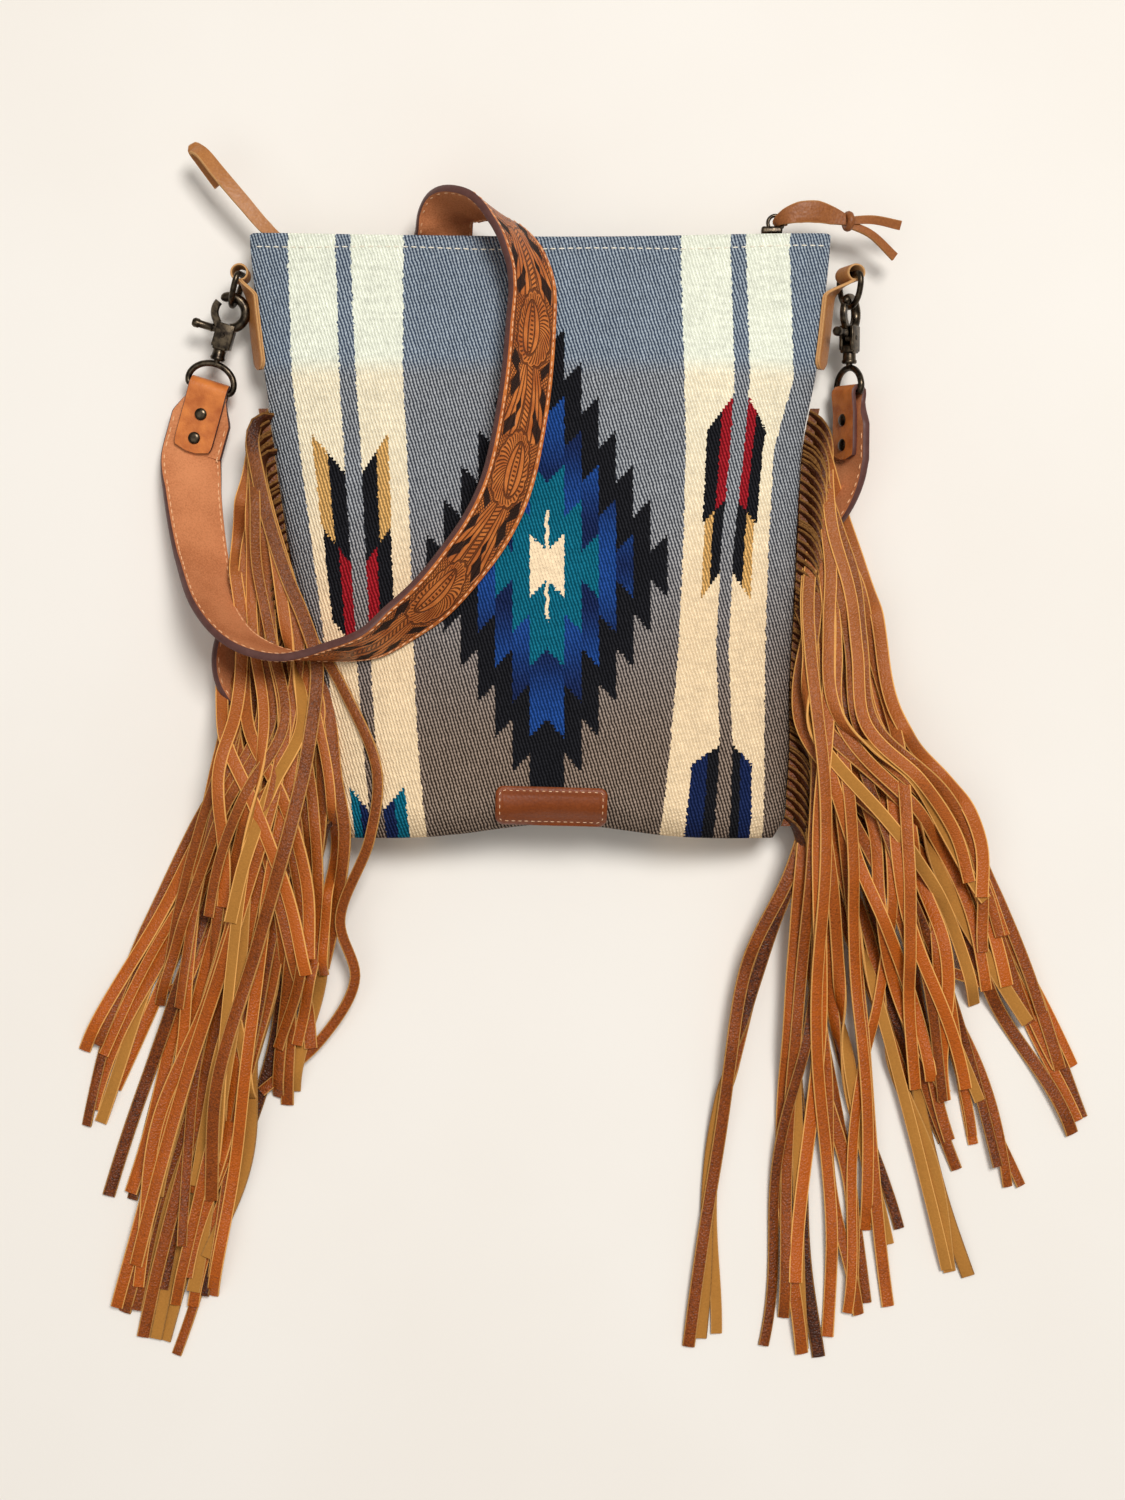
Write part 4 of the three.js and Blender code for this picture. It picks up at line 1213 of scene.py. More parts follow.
@dataclass(frozen=True)
class PlainFinish:
    """One colour that varies a little, with a fine relief."""

    name: str
    dark: Colour
    light: Colour
    roughness: float
    size: float = 6.0
    relief: float = 0.8
    depth: float = 0.1
    metallic: float = 0.0
    gloss: float = 0.2

    def material(self) -> Material:
        """Material of the finish.

        Returns:
            The material.
        """
        f = Finish(self.name, self.roughness, self.metallic, self.gloss)
        f.colour(f.blend(f.noise(self.size, 4.0).ramp(0.3, 0.7), self.dark, self.light))
        f.rough(f.noise(self.size * 0.4, 3.0) * 0.25 + (self.roughness - 0.12))
        return f.bump(f.noise(self.relief, 3.0), self.depth).material


FRINGE_LEATHER = StripLeather(
    "fringe", rgb(60, 26, 7), rgb(166, 96, 46), rgb(190, 130, 60), rgb(230, 168, 92), 1.1, 0.34,
    rgb(184, 90, 19))
TAB_LEATHER = StripLeather(
    "tab", rgb(146, 88, 44), rgb(190, 128, 72), rgb(198, 146, 92), rgb(220, 170, 112), 1.6, 0.12)
DARK_LEATHER = StripLeather(
    "trim", rgb(110, 58, 28), rgb(168, 104, 56), rgb(182, 122, 66), rgb(196, 140, 84), 1.6, 0.12)
PATCH_LEATHER = StripLeather(
    "patch", rgb(94, 40, 13), rgb(138, 68, 26), rgb(170, 110, 62), rgb(200, 132, 70), 2.0, 0.12)
DARK_BRONZE = PlainFinish(
    "dark_bronze", rgb(42, 36, 31), rgb(94, 82, 66), 0.3, 3.0, 0.6, 0.03, 1.0)
CREAM_THREAD = PlainFinish(
    "cream_thread", rgb(226, 214, 190), rgb(250, 244, 228), 0.8, 1.0, 0.3, 0.1)
TAN_THREAD = PlainFinish(
    "tan_thread", rgb(222, 170, 124), rgb(248, 214, 178), 0.8, 1.0, 0.3, 0.1)
STRAP_THREAD = PlainFinish(
    "strap_thread", rgb(218, 156, 108), rgb(246, 196, 150), 0.8, 1.0, 0.3, 0.1)
TABLE_TOP = PlainFinish("table_top", rgb(238, 231, 221), rgb(241, 235, 226), 0.9, 300.0, 30.0, 0.01)
ZIP_CLOTH = PlainFinish("zip_cloth", rgb(46, 33, 25), rgb(74, 55, 42), 0.9, 1.5, 0.5, 0.15, 0.0, 0.05)


# Woven body

class BodyForm:
    """The cloth's form, which the pieces sewn to it follow."""

    arch_rise, arch_centre, arch_spread, arch_reach = 9.0, 6.0, 50.0, 46.0
    sag_drop, sag_reach = 3.5, 45.0
    back_flatness = 1.12
    # Creases of the front: start, foot, depth and width
    creases = (
        ((47, -120), (57, -160), 3.2, 5), ((-42, -126), (-52, -160), 2.2, 6),
        ((84, -128), (96, -158), 1.6, 5), ((12, -112), (60, -126), 1.2, 7),
    )

    def section(self, y: Array) -> dict[str, Array]:
        """Sizes of the section at levels, by the table's column names.

        Args:
            y: Levels.

        Returns:
            One array for each column.
        """
        rows = cubic(BODY_LEVELS, np.array(BODY_ROWS, float), np.asarray(y, float))
        made = {name: rows[..., k] for k, name in enumerate(BODY_COLUMNS)}
        made["back"] = np.maximum(made["back"], 0.0)
        return made

    def drift(self, x: Array, y: Array) -> Array:
        """Level change of a line of cloth: the base arches up and the mouth sags.

        Args:
            x: Places across the bag.
            y: Levels.

        Returns:
            The change of level.
        """
        offset = (x - self.arch_centre) / self.arch_spread
        arch = self.arch_rise * np.exp(-offset * offset) * ease(1 - (y - BASE_Y) / self.arch_reach)
        span = x / BODY_ROWS[-1][0]
        sag = self.sag_drop * np.maximum(0, 1 - span * span) * ease(1 - (TOP_Y - y) / self.sag_reach)
        return arch - sag

    def front_height(self, section: dict[str, Array], share: Array) -> Array:
        """Height of the front at a share of the half width."""
        fall = np.maximum(0, 1 - np.abs(share) ** 2.6) ** section["round"]
        return mix(section["seam"], section["front"], fall)

    def back_height(self, section: dict[str, Array], share: Array) -> Array:
        """Height of the back at a share of the half width."""
        fall = np.maximum(0, 1 - np.abs(share) ** 4) ** section["round"]
        return mix(section["seam"], section["back"], np.minimum(1, self.back_flatness * fall))

    def relief(self, x: Array, y: Array, share: Array) -> Array:
        """Soft dents and puckers of the front.

        Args:
            x: Places across the bag.
            y: Levels.
            share: Shares of the half width.

        Returns:
            The change of height.
        """
        calm = np.maximum(0, 1 - np.abs(share) ** 4)
        swell = 0.7 * np.sin(x / 31 + 0.8) * np.sin(y / 38 + 0.4) + 0.45 * np.sin((x + 1.4 * y) / 23)
        edge = np.exp(-(1 - np.abs(share)) / 0.07)
        pucker = 1.1 * edge * np.sin(y / 2.1 + 3 * np.sign(share)) * calm
        slack = ease((y + 60) / -90)
        crease = 0.0
        for start, foot, depth, width in self.creases:
            run = np.array(foot, float) - start
            t = np.clip(((x - start[0]) * run[0] + (y - start[1]) * run[1]) / (run @ run), 0, 1)
            gap = np.hypot(x - start[0] - t * run[0], y - start[1] - t * run[1])
            crease = crease + depth * np.exp(-((gap / width) ** 2)) * ease(t * 2)
        return (swell * (0.6 + 0.8 * slack)) * calm + pucker - crease * calm

    def front(self, x: Array, y: Array) -> Array:
        """Height of the front surface.

        Args:
            x: Places across the bag.
            y: Levels.

        Returns:
            The heights.
        """
        level = y - self.drift(x, y)
        section = self.section(level)
        share = np.clip((x - section["centre"]) / section["half"], -1, 1)
        return self.front_height(section, share) + self.relief(x, y, share)

    def seam(self, side: Side, y: Array, outward: float) -> Array:
        """Points along a side seam, set off outwards.

        Args:
            side: Which seam.
            y: Levels.
            outward: How far outside it.

        Returns:
            The points.
        """
        section = self.section(y)
        x = section["centre"] + side.value * (section["half"] + outward)
        return np.stack([x, y + self.drift(section["half"], y), section["seam"]], axis=-1)


FORM = BodyForm()


@dataclass
class WovenBody:
    """Hollow body of thick woven cloth with a line of stitches under its mouth."""

    cloth: Material
    thread: Material
    stitch_size: tuple[float, float] = (3.2, 0.75)
    wall: float = 3.0
    columns: int = 200
    rows: int = 104
    inner_rows: int = 34
    base_rings: int = 7
    stitch_drop: float = 6.0
    stitch_pitch: float = 4.4

    def ring(self, level: float, inset: float, lift: float = 0.0) -> Array:
        """One ring of cloth.

        Args:
            level: Its level before the cloth drifts.
            inset: How far inside the outer face it lies.
            lift: Change of level after that.

        Returns:
            Its points.
        """
        angle = 2 * np.pi * np.arange(self.columns) / self.columns
        share = np.cos(angle)
        section = {name: np.full(self.columns, v) for name, v in FORM.section(np.array([level])).items()}
        section["half"] -= inset
        section["front"] -= inset
        section["back"] += inset
        x = section["centre"] + section["half"] * share
        upper = angle <= np.pi
        z = np.where(upper, FORM.front_height(section, share), FORM.back_height(section, share))
        y = level + FORM.drift(x, np.full_like(x, level)) + lift
        z = np.where(upper, z + FORM.relief(x, y, share), z)
        return np.stack([x, y, z], axis=1)

    def closing(self, level: float, inset: float) -> Array:
        """Rings that close a base from its middle out to a ring.

        Args:
            level: Level of the base.
            inset: How far inside the outer face it lies.

        Returns:
            An array of rings.
        """
        ring = self.ring(level, inset)
        middle = ring.mean(axis=0)
        shares = np.linspace(0.02, 0.97, self.base_rings)
        made = middle + (ring - middle) * shares[:, None, None]
        x = made[:, :, 0]
        bulge = 1.8 * (1 - shares**2) if inset == 0 else 0 * shares
        made[:, :, 1] = level + FORM.drift(x, np.full_like(x, level)) - bulge[:, None]
        return made

    def stripe(self, points: Array) -> Array:
        """Place across the flat cloth of points on the body.

        Args:
            points: The points.

        Returns:
            Their places.
        """
        levels = np.array(STRIPE_LEVELS[::-1], float)
        borders = np.stack(
            [np.interp(points[..., 1], levels, row[::-1]) for row in STRIPE_BORDERS.values()], axis=-1)
        flat = np.array(FLAT_BORDERS, float)
        x = points[..., 0]
        made = flat[0] + (x - borders[..., 0])
        for k in range(len(flat) - 1):
            low, high = borders[..., k], borders[..., k + 1]
            made = np.where(x >= low, flat[k] + (x - low) / (high - low) * (flat[k + 1] - flat[k]), made)
        return np.where(x >= borders[..., -1], flat[-1] + (x - borders[..., -1]), made)

    def build(self) -> Piece:
        """The cloth, outside and inside.

        Returns:
            The piece.
        """
        levels = np.linspace(BASE_Y, TOP_Y, self.rows)
        outer = np.stack([self.ring(level, 0.0) for level in levels])
        rim = np.stack([self.ring(TOP_Y, self.wall * 0.5, 1.1)])
        deep = np.linspace(TOP_Y, BASE_Y + self.wall, self.inner_rows)
        inner = np.stack([self.ring(level, self.wall) for level in deep])
        floor = self.closing(BASE_Y + self.wall, self.wall)[::-1]
        rings = np.concatenate([self.closing(BASE_Y, 0.0), outer, rim, inner, floor])
        bm = bmesh.new()
        skin(bm, rings, values={"stripe": self.stripe(rings)})
        return settle(bm, "woven_cloth", [self.cloth], 60.0)

    def stitches(self) -> Piece:
        """The line of stitches under the mouth, front and back.

        Returns:
            The piece.
        """
        level = TOP_Y - self.stitch_drop
        section = FORM.section(np.array([level]))
        half, centre = float(section["half"][0]), float(section["centre"][0])
        count = int(2 * (half - 5) / self.stitch_pitch)
        x = centre + np.linspace(-half + 5, half - 5, count)
        y = level + FORM.drift(x, np.full(count, level)) + 0.5 * np.sin(x / 17)
        front = np.stack([x, y, FORM.front(x, y) + 0.2], axis=1)
        wide = {name: np.full(count, float(v[0])) for name, v in section.items()}
        back = np.stack([x, y, FORM.back_height(wide, (x - centre) / half) - 0.2], axis=1)
        points = np.concatenate([front, back])
        along = np.concatenate([tangents(front), tangents(back)])
        normal = np.repeat([Z_AXIS, -Z_AXIS], count, axis=0)
        shape = stitch_shape(*self.stitch_size)
        return scattered(shape, points, along, normal, "mouth_stitches", self.thread)


# Fringe

class Pile:
    """Heights of the strips laid so far, on a grid over the table."""

    cell, finer, passes, softer = 1.6, 4, 200, 40
    corner = np.array([-320.0, -480.0])
    strap_y, strap_reach, high = -62.0, 14.0, 54.0
    cells, bare = 420, -100.0
    marks = np.linspace(-0.34, 0.34, 7)

    def __init__(self, under_strap: float) -> None:
        """Starts with nothing laid, below the height that is free under the strap."""
        self.under_strap = under_strap
        self.top = np.full((self.cells, self.cells), self.bare)

    def rest(self, centre: Array, across: Array, width: float, thick: float, held: float) -> Array:
        """Lifts a strip onto those laid before it, and adds it to them.

        Args:
            centre: Its centre line.
            across: Direction of its width at each point.
            width: Its width.
            thick: Its thickness.
            held: Length of its root that the seam holds down.

        Returns:
            The centre line, lifted.
        """
        steps = np.arange(len(centre))
        fine = np.linspace(0, steps[-1], len(centre) * self.finer)
        line, wide = (
            np.stack([np.interp(fine, steps, c) for c in rows.T], axis=1) for rows in (centre, across))
        spots = line[:, None] + wide[:, None] * (self.marks * width)[:, None]
        i, j = np.moveaxis(((spots[..., :2] - self.corner) / self.cell).astype(int), -1, 0)
        need = (self.top[i, j] + line[:, None, 2] - spots[..., 2]).max(axis=1) + thick * 0.55
        clear = ease(np.abs(line[:, 1] - self.strap_y) / self.strap_reach - 0.5)
        cap = np.maximum(mix(self.under_strap, self.high, clear), line[:, 2] + thick * 1.6)
        free = ease((run_length(line) - held) / (held + 8.0))
        lift = np.maximum(np.minimum(need, cap) - line[:, 2], 0) * free
        for _ in range(self.passes):
            lift[1:-1] = np.maximum(lift[1:-1], (lift[:-2] + lift[2:]) / 2)
        for _ in range(self.softer):
            lift[1:-1] = (lift[:-2] + 2 * lift[1:-1] + lift[2:]) / 4
        height = spots[..., 2] + lift[:, None] + thick * 0.5
        np.maximum.at(self.top, (i[free > 0.5], j[free > 0.5]), height[free > 0.5])
        return centre + np.interp(steps, fine, lift)[:, None] * Z_AXIS


@dataclass
class Fringe:
    """Cut leather strips along one side seam, three for each lock of the drawing."""

    side: Side
    leaves: Leaves
    rng: Chance
    widths: tuple[float, float] = (5.2, 7.4)
    thick: float = 1.4
    strips: int = 3
    steps: int = 88
    top_y: float = 67.0
    foot_y: float = -152.0
    gather_y: float = -98.0
    gather_reach: float = 28.0
    gather_high: float = 8.0
    gather_low: float = 3.0
    spread: float = 4.7

    under_strap = {Side.LEFT: 40.0, Side.RIGHT: Pile.high}
    lane_near = {Side.LEFT: 0.5, Side.RIGHT: 5.0}
    lane_levels = (-98.0, -59.0, 19.0, 50.0)
    lane_far = {Side.LEFT: (53.0, 49.0, 33.0, 18.0), Side.RIGHT: (62.0, 50.0, 27.0, 15.0)}

    def __post_init__(self) -> None:
        """Starts the side's mesh, pile and count."""
        self.bm = bmesh.new()
        self.pile = Pile(self.under_strap[self.side])
        self.laid = 0

    def route(self, share: float, end: Array, bow: float, lie: float, lane: float) -> Route:
        """Centre line of one strip: out of the seam, down beside the bag, then over the table.

        Args:
            share: Place of its root along the seam, from 0 at the top.
            end: Where it ends on the table.
            bow: How far it bows sideways.
            lie: Height at which it lies on the others.
            lane: Place across the bundle, from 0 beside the bag to 1 outside.

        Returns:
            The line.
        """
        s = self.side.value
        y = mix(self.top_y - 3, self.foot_y + 4, share)
        root = FORM.seam(self.side, np.array([y]), 0.0)[0]
        start = root + (s * 10.0, -15.0, 0.6 - share)
        points = [root + (s * 1.0, 0.5, 0), root + (s * 5.0, -2.5, 1.2), root + (s * 8.3, -8.0, 1.4), start]
        fall = start[1] - self.gather_y
        if fall > self.gather_reach:
            height = mix(self.gather_high, self.gather_low, lane)
            for t in np.linspace(0, 1, max(2, int(fall / 36) + 1))[1:]:
                level = start[1] - fall * t
                far = np.interp(level, self.lane_levels, self.lane_far[self.side])
                out = mix(10.0, mix(self.lane_near[self.side], far, lane), ease(fall * t / 55.0))
                seam = FORM.seam(self.side, np.array([level]), out)[0]
                points.append(np.array([seam[0], seam[1], mix(start[2], height, ease(fall * t / 50.0))]))
            start = points[-1]
        for t in (0.33, 0.68):
            point = mix(start, end, t)
            point[0] += bow * math.sin(math.pi * t)
            point[2] = max(lie * 0.5, start[2] * 0.4) if t < 0.5 else lie * 0.3
            points.append(point)
        points.append(end)
        return Route(points)

    def lay(self, centre: Array, roll: Array, tone: float, width: float, held: float = 22.0) -> None:
        """Adds one strip along a line.

        Args:
            centre: Its centre line.
            roll: Lean of its width from level along the line.
            tone: Its shade from 0, dark, to 1, light.
            width: Its width.
            held: Length of its root that the seam holds down.
        """
        section, leaves = ribbon_section(0.085, 3, 3)
        section[1, 1] += 0.22
        reach = np.abs(np.sin(roll)) * width / 2 + np.abs(np.cos(roll)) * self.thick / 2
        centre = centre.copy()
        centre[:, 2] = np.maximum(centre[:, 2], reach + 0.08)
        centre = self.pile.rest(centre, band_frames(centre, roll)[0], width, self.thick, held)
        across, normal = band_frames(centre, roll)
        flip = np.where(normal[0, 2] < 0, -1.0, 1.0)
        rings = sweep(centre, across * flip, normal * flip, width, self.thick, section)
        # Painted shade: each strip is darker near its root at the seam, where the strips above overhang it.
        shade = mix(-0.25, tone, ease((run_length(centre) - 7.0) / 26.0))
        skin(self.bm, rings, leaves, {"tone": np.broadcast_to(shade[:, None], rings.shape[:2])})

    def build(self) -> Piece:
        """All strips of the side with their backing.

        Returns:
            The piece.
        """
        self.backing()
        ends = LOCK_ENDS[self.side]
        rows = []
        for i, (x, y, bow, lie) in enumerate(ends):
            for k in range(self.strips):
                offset = (k - (self.strips - 1) / 2) * self.spread
                share = (i + k / self.strips) / (len(ends) - 1 + (self.strips - 1) / self.strips)
                rows.append((share, (x + offset * 1.1, y, bow, lie)))
        for x, y in LOOSE_ENDS[self.side]:
            share, bow, lie = (self.rng.uniform(*span) for span in ((0.05, 0.9), (-6, 6), (3, 10)))
            rows.append((share, (x, y, bow, lie)))
        for points in STRAYS[self.side]:
            rows.append(((self.top_y - points[0][1]) / (self.top_y - self.foot_y), points))
        for place, (share, row) in enumerate(sorted(rows, key=lambda pair: -pair[0])):
            if isinstance(row[0], tuple):
                self.stray(row)
            else:
                # Painted shade: strips laid first lie lowest in the pile and are made darker, the last ones
                # lighter.
                self.strip(share, row, mix(-0.3, 0.3, place / len(rows)))
        return settle(self.bm, f"fringe_strips_{self.side.word}", self.leaves, 40.0)

    def strip(self, share: float, row: tuple[float, float, float, float], shade: float) -> None:
        """Lays one strip with its own length, waves, turn and shade.

        Args:
            share: Place of its root along the seam.
            row: Its end, bow and lie.
            shade: Painted shade for its place in the pile, darker low in the pile and lighter on top.
        """
        rng = self.rng
        x, y, bow, lie = row
        t = np.linspace(0, 1, self.steps)
        end = np.array([x + rng.uniform(-2, 2), y + rng.uniform(-6, 8), self.thick / 2 + 0.1])
        self.laid += 1
        lane = self.laid * GOLDEN_SHARE % 1.0
        centre = self.route(share, end, bow + rng.uniform(-3, 3), lie, lane).even(self.steps)
        length = run_length(centre)[-1]
        free = ease((t * length - 40.0) / 60.0)
        along = tangents(centre)
        beside = unit(np.stack([-along[:, 1], along[:, 0], np.zeros(len(t))], axis=1))
        turns, phase = rng.uniform(0.9, 2.4), rng.uniform(0, 2 * np.pi)
        centre += beside * (rng.uniform(0.8, 4.6) * free * np.sin(2 * np.pi * turns * t + phase))[:, None]
        stand = math.radians(74) * (1 - ease(t * length / 26.0))
        tilt, waves = math.radians(rng.uniform(5, 15)), rng.uniform(0.5, 1.3)
        lean = tilt * np.sin(2 * np.pi * waves * t + phase) * free
        flip = np.pi * ease((t - rng.uniform(0.3, 0.6)) / 0.22) if rng.random() < 0.24 else 0.0
        tone, width = rng.random() * 0.8 + 0.1 + shade, rng.uniform(*self.widths)
        self.lay(centre, self.side.value * stand + lean + flip, tone, width)

    def stray(self, row: Sequence[Sequence[float]]) -> None:
        """Lays one strip along given points, over the cloth where they cross it.

        Args:
            row: Its points.
        """
        rng = self.rng
        centre = Route(row).even(self.steps)
        section = FORM.section(centre[:, 1])
        over = np.abs(centre[:, 0] - section["centre"]) < section["half"] - 1
        over &= (centre[:, 1] > BASE_Y) & (centre[:, 1] < TOP_Y)
        height = FORM.front(centre[:, 0], centre[:, 1]) + self.thick
        centre[:, 2] = np.where(over, np.maximum(centre[:, 2], height), centre[:, 2])
        for _ in range(3):
            centre[1:-1, 2] = np.maximum(centre[1:-1, 2], (centre[:-2, 2] + centre[2:, 2]) / 2)
        lean = np.radians(14) * np.sin(np.linspace(0, 2.4 * np.pi, self.steps) + rng.uniform(0, 6))
        stand = math.radians(70) * (1 - ease(run_length(centre) / 24.0))
        tone, width = rng.uniform(0.3, 0.9), rng.uniform(*self.widths)
        self.lay(centre, self.side.value * stand + lean, tone, width, 6.0)

    def backing(self) -> None:
        """Adds the narrow leather strip that the fringe is cut from, along the seam."""
        centre = FORM.seam(self.side, np.linspace(self.top_y, self.foot_y, 40), 3.2)
        section, leaves = ribbon_section(0.06, 3, 3)
        rings = sweep(centre, X_AXIS, Z_AXIS, 5.0, 1.6, section)
        skin(self.bm, rings, leaves, toned(rings, 0.15))


def toned(rings: Array, tone: float) -> dict[str, Array]:
    """One shade of leather kept on all points of rings."""
    return {"tone": np.full(rings.shape[:2], tone)}


def leather_band(bm: Shape, rows: Sequence[Sequence[float]], thick: float, tone: float) -> None:
    """Adds a strip of leather along listed rows.

    Args:
        bm: Mesh that takes it.
        rows: Centre, width and tilt of the width from level, in degrees.
        thick: Thickness of the leather.
        tone: Its shade from 0 to 1.
    """
    table = np.array(rows, float)
    t = np.linspace(0, 1, 12 * len(table))
    place = t * (len(table) - 1)
    width = np.interp(place, np.arange(len(table)), table[:, 3])
    tilt = np.radians(np.interp(place, np.arange(len(table)), table[:, 4]))
    centre = Route(table[:, :3]).at(t)
    across, normal = band_frames(centre, tilt)
    section, leaves = ribbon_section(0.05, 5, 5)
    rings = sweep(centre, across, normal, width, thick, section)
    skin(bm, rings, leaves, toned(rings, tone))


# Mouth

@dataclass
class Mouth:
    """Leather facings inside the mouth, the zip between them, its pull and its loose end."""

    leaves: Leaves
    pale: Leaves
    cloth: Material
    metal: Material
    half: float = 132.0
    middle: float = -2.5
    runner: tuple[float, float, float] = (11, 4, 6)
    bail_radius: float = 4.0
    bail_wire: float = 1.0
    wall: float = 3.0
    gap: float = 0.35
    facing_low: float = 138.0
    facing_high: float = 159.5
    facing_thick: float = 1.6
    tape: tuple[float, float] = (153.9, 155.4)
    chain: tuple[float, float] = (155.75, 158.0)
    tooth_pitch: float = 2.4
    slider_x: float = 119.0
    steps: int = 70

    thong_rows = (
        (127, 165.8, 23, 3.2, 0), (121.2, 164.7, 27.9, 3.2, 0), (125.5, 166.5, 33.5, 8, 0),
        (133, 168.5, 35, 11, 10), (142, 169, 34, 11.5, 10), (151, 167.5, 31, 9, 5), (159, 165.5, 29, 5, 0),
    )
    tail_rows = (
        ((158, 165.5, 29, 4, 10), (172, 166, 29, 4.5, 25), (187, 164, 25, 5, 20)),
        ((158, 164.5, 28, 4, -10), (171, 159, 27, 4.5, -20), (184.5, 148, 22, 5, -15)),
    )
    end_rows = (
        (-137.5, 155.6, 28.3, 3, 0), (-146, 161.5, 28.6, 7, 0), (-158, 175, 30, 7.5, 8),
        (-170, 189, 31, 8, 20), (-180, 201, 30.5, 8, 32), (-184, 203.5, 27, 8, 30),
        (-180, 198, 24.4, 8, 24), (-171, 186, 24, 8, 14),
    )

    def inside(self, x: Array) -> tuple[Array, Array]:
        """Heights of the cloth's inner faces at the mouth, back and front.

        Args:
            x: Places across the bag.

        Returns:
            The heights of back and front.
        """
        section = {k: np.full(np.shape(x), float(v[0])) for k, v in FORM.section(np.array([TOP_Y])).items()}
        share = (x - section["centre"]) / (section["half"] - self.wall - 1.5)
        section["front"] = section["front"] - self.wall
        section["back"] = section["back"] + self.wall
        return FORM.back_height(section, share) + self.gap, FORM.front_height(section, share) - self.gap

    def sag(self, x: Array) -> Array:
        """How far the mouth sags."""
        return FORM.drift(x, np.full(np.shape(x), float(TOP_Y)))

    def facing(self, name: str, front: bool) -> Piece:
        """One leather facing.

        Args:
            name: Name of the piece.
            front: Whether it lies at the front.

        Returns:
            The piece.
        """
        x = np.linspace(self.middle - self.half, self.middle + self.half, self.steps)
        back_z, front_z = self.inside(x)
        z = front_z - self.facing_thick / 2 if front else back_z + self.facing_thick / 2
        y = (self.facing_low + self.facing_high) / 2 + self.sag(x)
        section, slots = ribbon_section(0.04, 5, 5)
        height = self.facing_high - self.facing_low
        rings = sweep(np.stack([x, y, z], axis=1), Y_AXIS, Z_AXIS, height, self.facing_thick, section)
        bm = bmesh.new()
        skin(bm, rings, slots, toned(rings, 0.4))
        return settle(bm, name, self.leaves)

    def ribbon(self) -> Piece:
        """The zip's tape.

        Returns:
            The piece.
        """
        x = np.linspace(self.middle - self.half + 2, self.middle + self.half - 2, self.steps)
        back_z, front_z = self.inside(x)
        edge = self.facing_thick + self.gap
        low, high = back_z + edge, front_z - edge
        centre = np.stack([x, sum(self.tape) / 2 + self.sag(x), (low + high) / 2], axis=1)
        section, _ = ribbon_section(0.05, 4, 4)
        bm = bmesh.new()
        skin(bm, sweep(centre, Z_AXIS, Y_AXIS, high - low, self.tape[1] - self.tape[0], section))
        return settle(bm, "zip_ribbon", [self.cloth])

    def teeth(self) -> Piece:
        """The zip's teeth, in two rows that mesh.

        Returns:
            The piece.
        """
        count = int(2 * (self.half - 4) / (self.tooth_pitch / 2))
        x = np.linspace(self.middle - self.half + 4, self.middle + self.half - 4, count)
        back_z, front_z = self.inside(x)
        z = (back_z + front_z) / 2 + 0.4 * np.where(np.arange(count) % 2, 1, -1)
        points = np.stack([x, sum(self.chain) / 2 + self.sag(x), z], axis=1)
        shape = bmesh.new()
        block(shape, (0.9, 1.8, 2.0), (0, 0, 0), 0.25)
        return scattered(shape, points, tangents(points), Y_AXIS, "zip_teeth", self.metal)

    def slider(self) -> Piece:
        """The slider with its bail.

        Returns:
            The piece.
        """
        x = np.array([self.slider_x])
        back_z, front_z = self.inside(x)
        z = float((back_z + front_z)[0] / 2)
        sag = float(self.sag(x)[0])
        foot, low = self.chain[1] + sag + self.gap, self.facing_high + sag + self.gap
        bm = bmesh.new()
        block(bm, self.runner, (self.slider_x, low + self.runner[1] / 2, z), 1.2)
        block(bm, (9, low + 1 - foot, 1.8), (self.slider_x, (low + 1 + foot) / 2, z), 0.3)
        turn = np.linspace(0, 2 * np.pi, 32, endpoint=False)
        bail_x = self.slider_x + 2 + self.bail_radius * np.cos(turn)
        bail_y = low + 6 + self.bail_radius * np.sin(turn)
        bail = np.stack([bail_x, bail_y, np.full(len(turn), z)], axis=1)
        skin(bm, wire_rings(bail, Z_AXIS, self.bail_wire, 10, True), loop=True)
        return settle(bm, "zip_runner", [self.metal])

    def thong(self) -> Piece:
        """The knotted leather pull.

        Returns:
            The piece.
        """
        bm = bmesh.new()
        leather_band(bm, self.thong_rows, 2.0, 0.45)
        for rows in self.tail_rows:
            leather_band(bm, rows, 1.8, 0.55)
        turn = np.linspace(0, 2 * np.pi, 30, endpoint=False)
        plane = np.array([math.cos(math.radians(20)), 0.0, -math.sin(math.radians(20))])
        aside = np.cross(plane, Y_AXIS)
        middle = np.array([159.0, 165.2, 29.0])
        loop = middle + 3.4 * (np.cos(turn)[:, None] * aside + np.sin(turn)[:, None] * Y_AXIS)
        rings = wire_rings(loop, plane, 2.0, 10, True)
        skin(bm, rings, values=toned(rings, 0.3), loop=True)
        return settle(bm, "zip_pull", self.leaves)

    def loose_end(self) -> Piece:
        """The folded leather end of the zip.

        Returns:
            The piece.
        """
        bm = bmesh.new()
        leather_band(bm, self.end_rows, 2.0, 0.5)
        return settle(bm, "zip_loose_end", self.pale)

    def build(self) -> None:
        """Builds and dresses all pieces of the mouth."""
        dress(self.facing("facing_front", True), "bag", "dark_leather", "zip_facing_front")
        dress(self.facing("facing_back", False), "bag", "dark_leather", "zip_facing_back")
        dress(self.ribbon(), "bag", "zip_tape", "zip_tape")
        dress(self.teeth(), "bag", "dark_metal", "zip_chain")
        dress(self.slider(), "bag", "dark_metal", "zip_slider")
        dress(self.thong(), "bag", "dark_leather", "zip_thong")
        dress(self.loose_end(), "bag", "dark_leather", "zip_end_tab")


# Patch

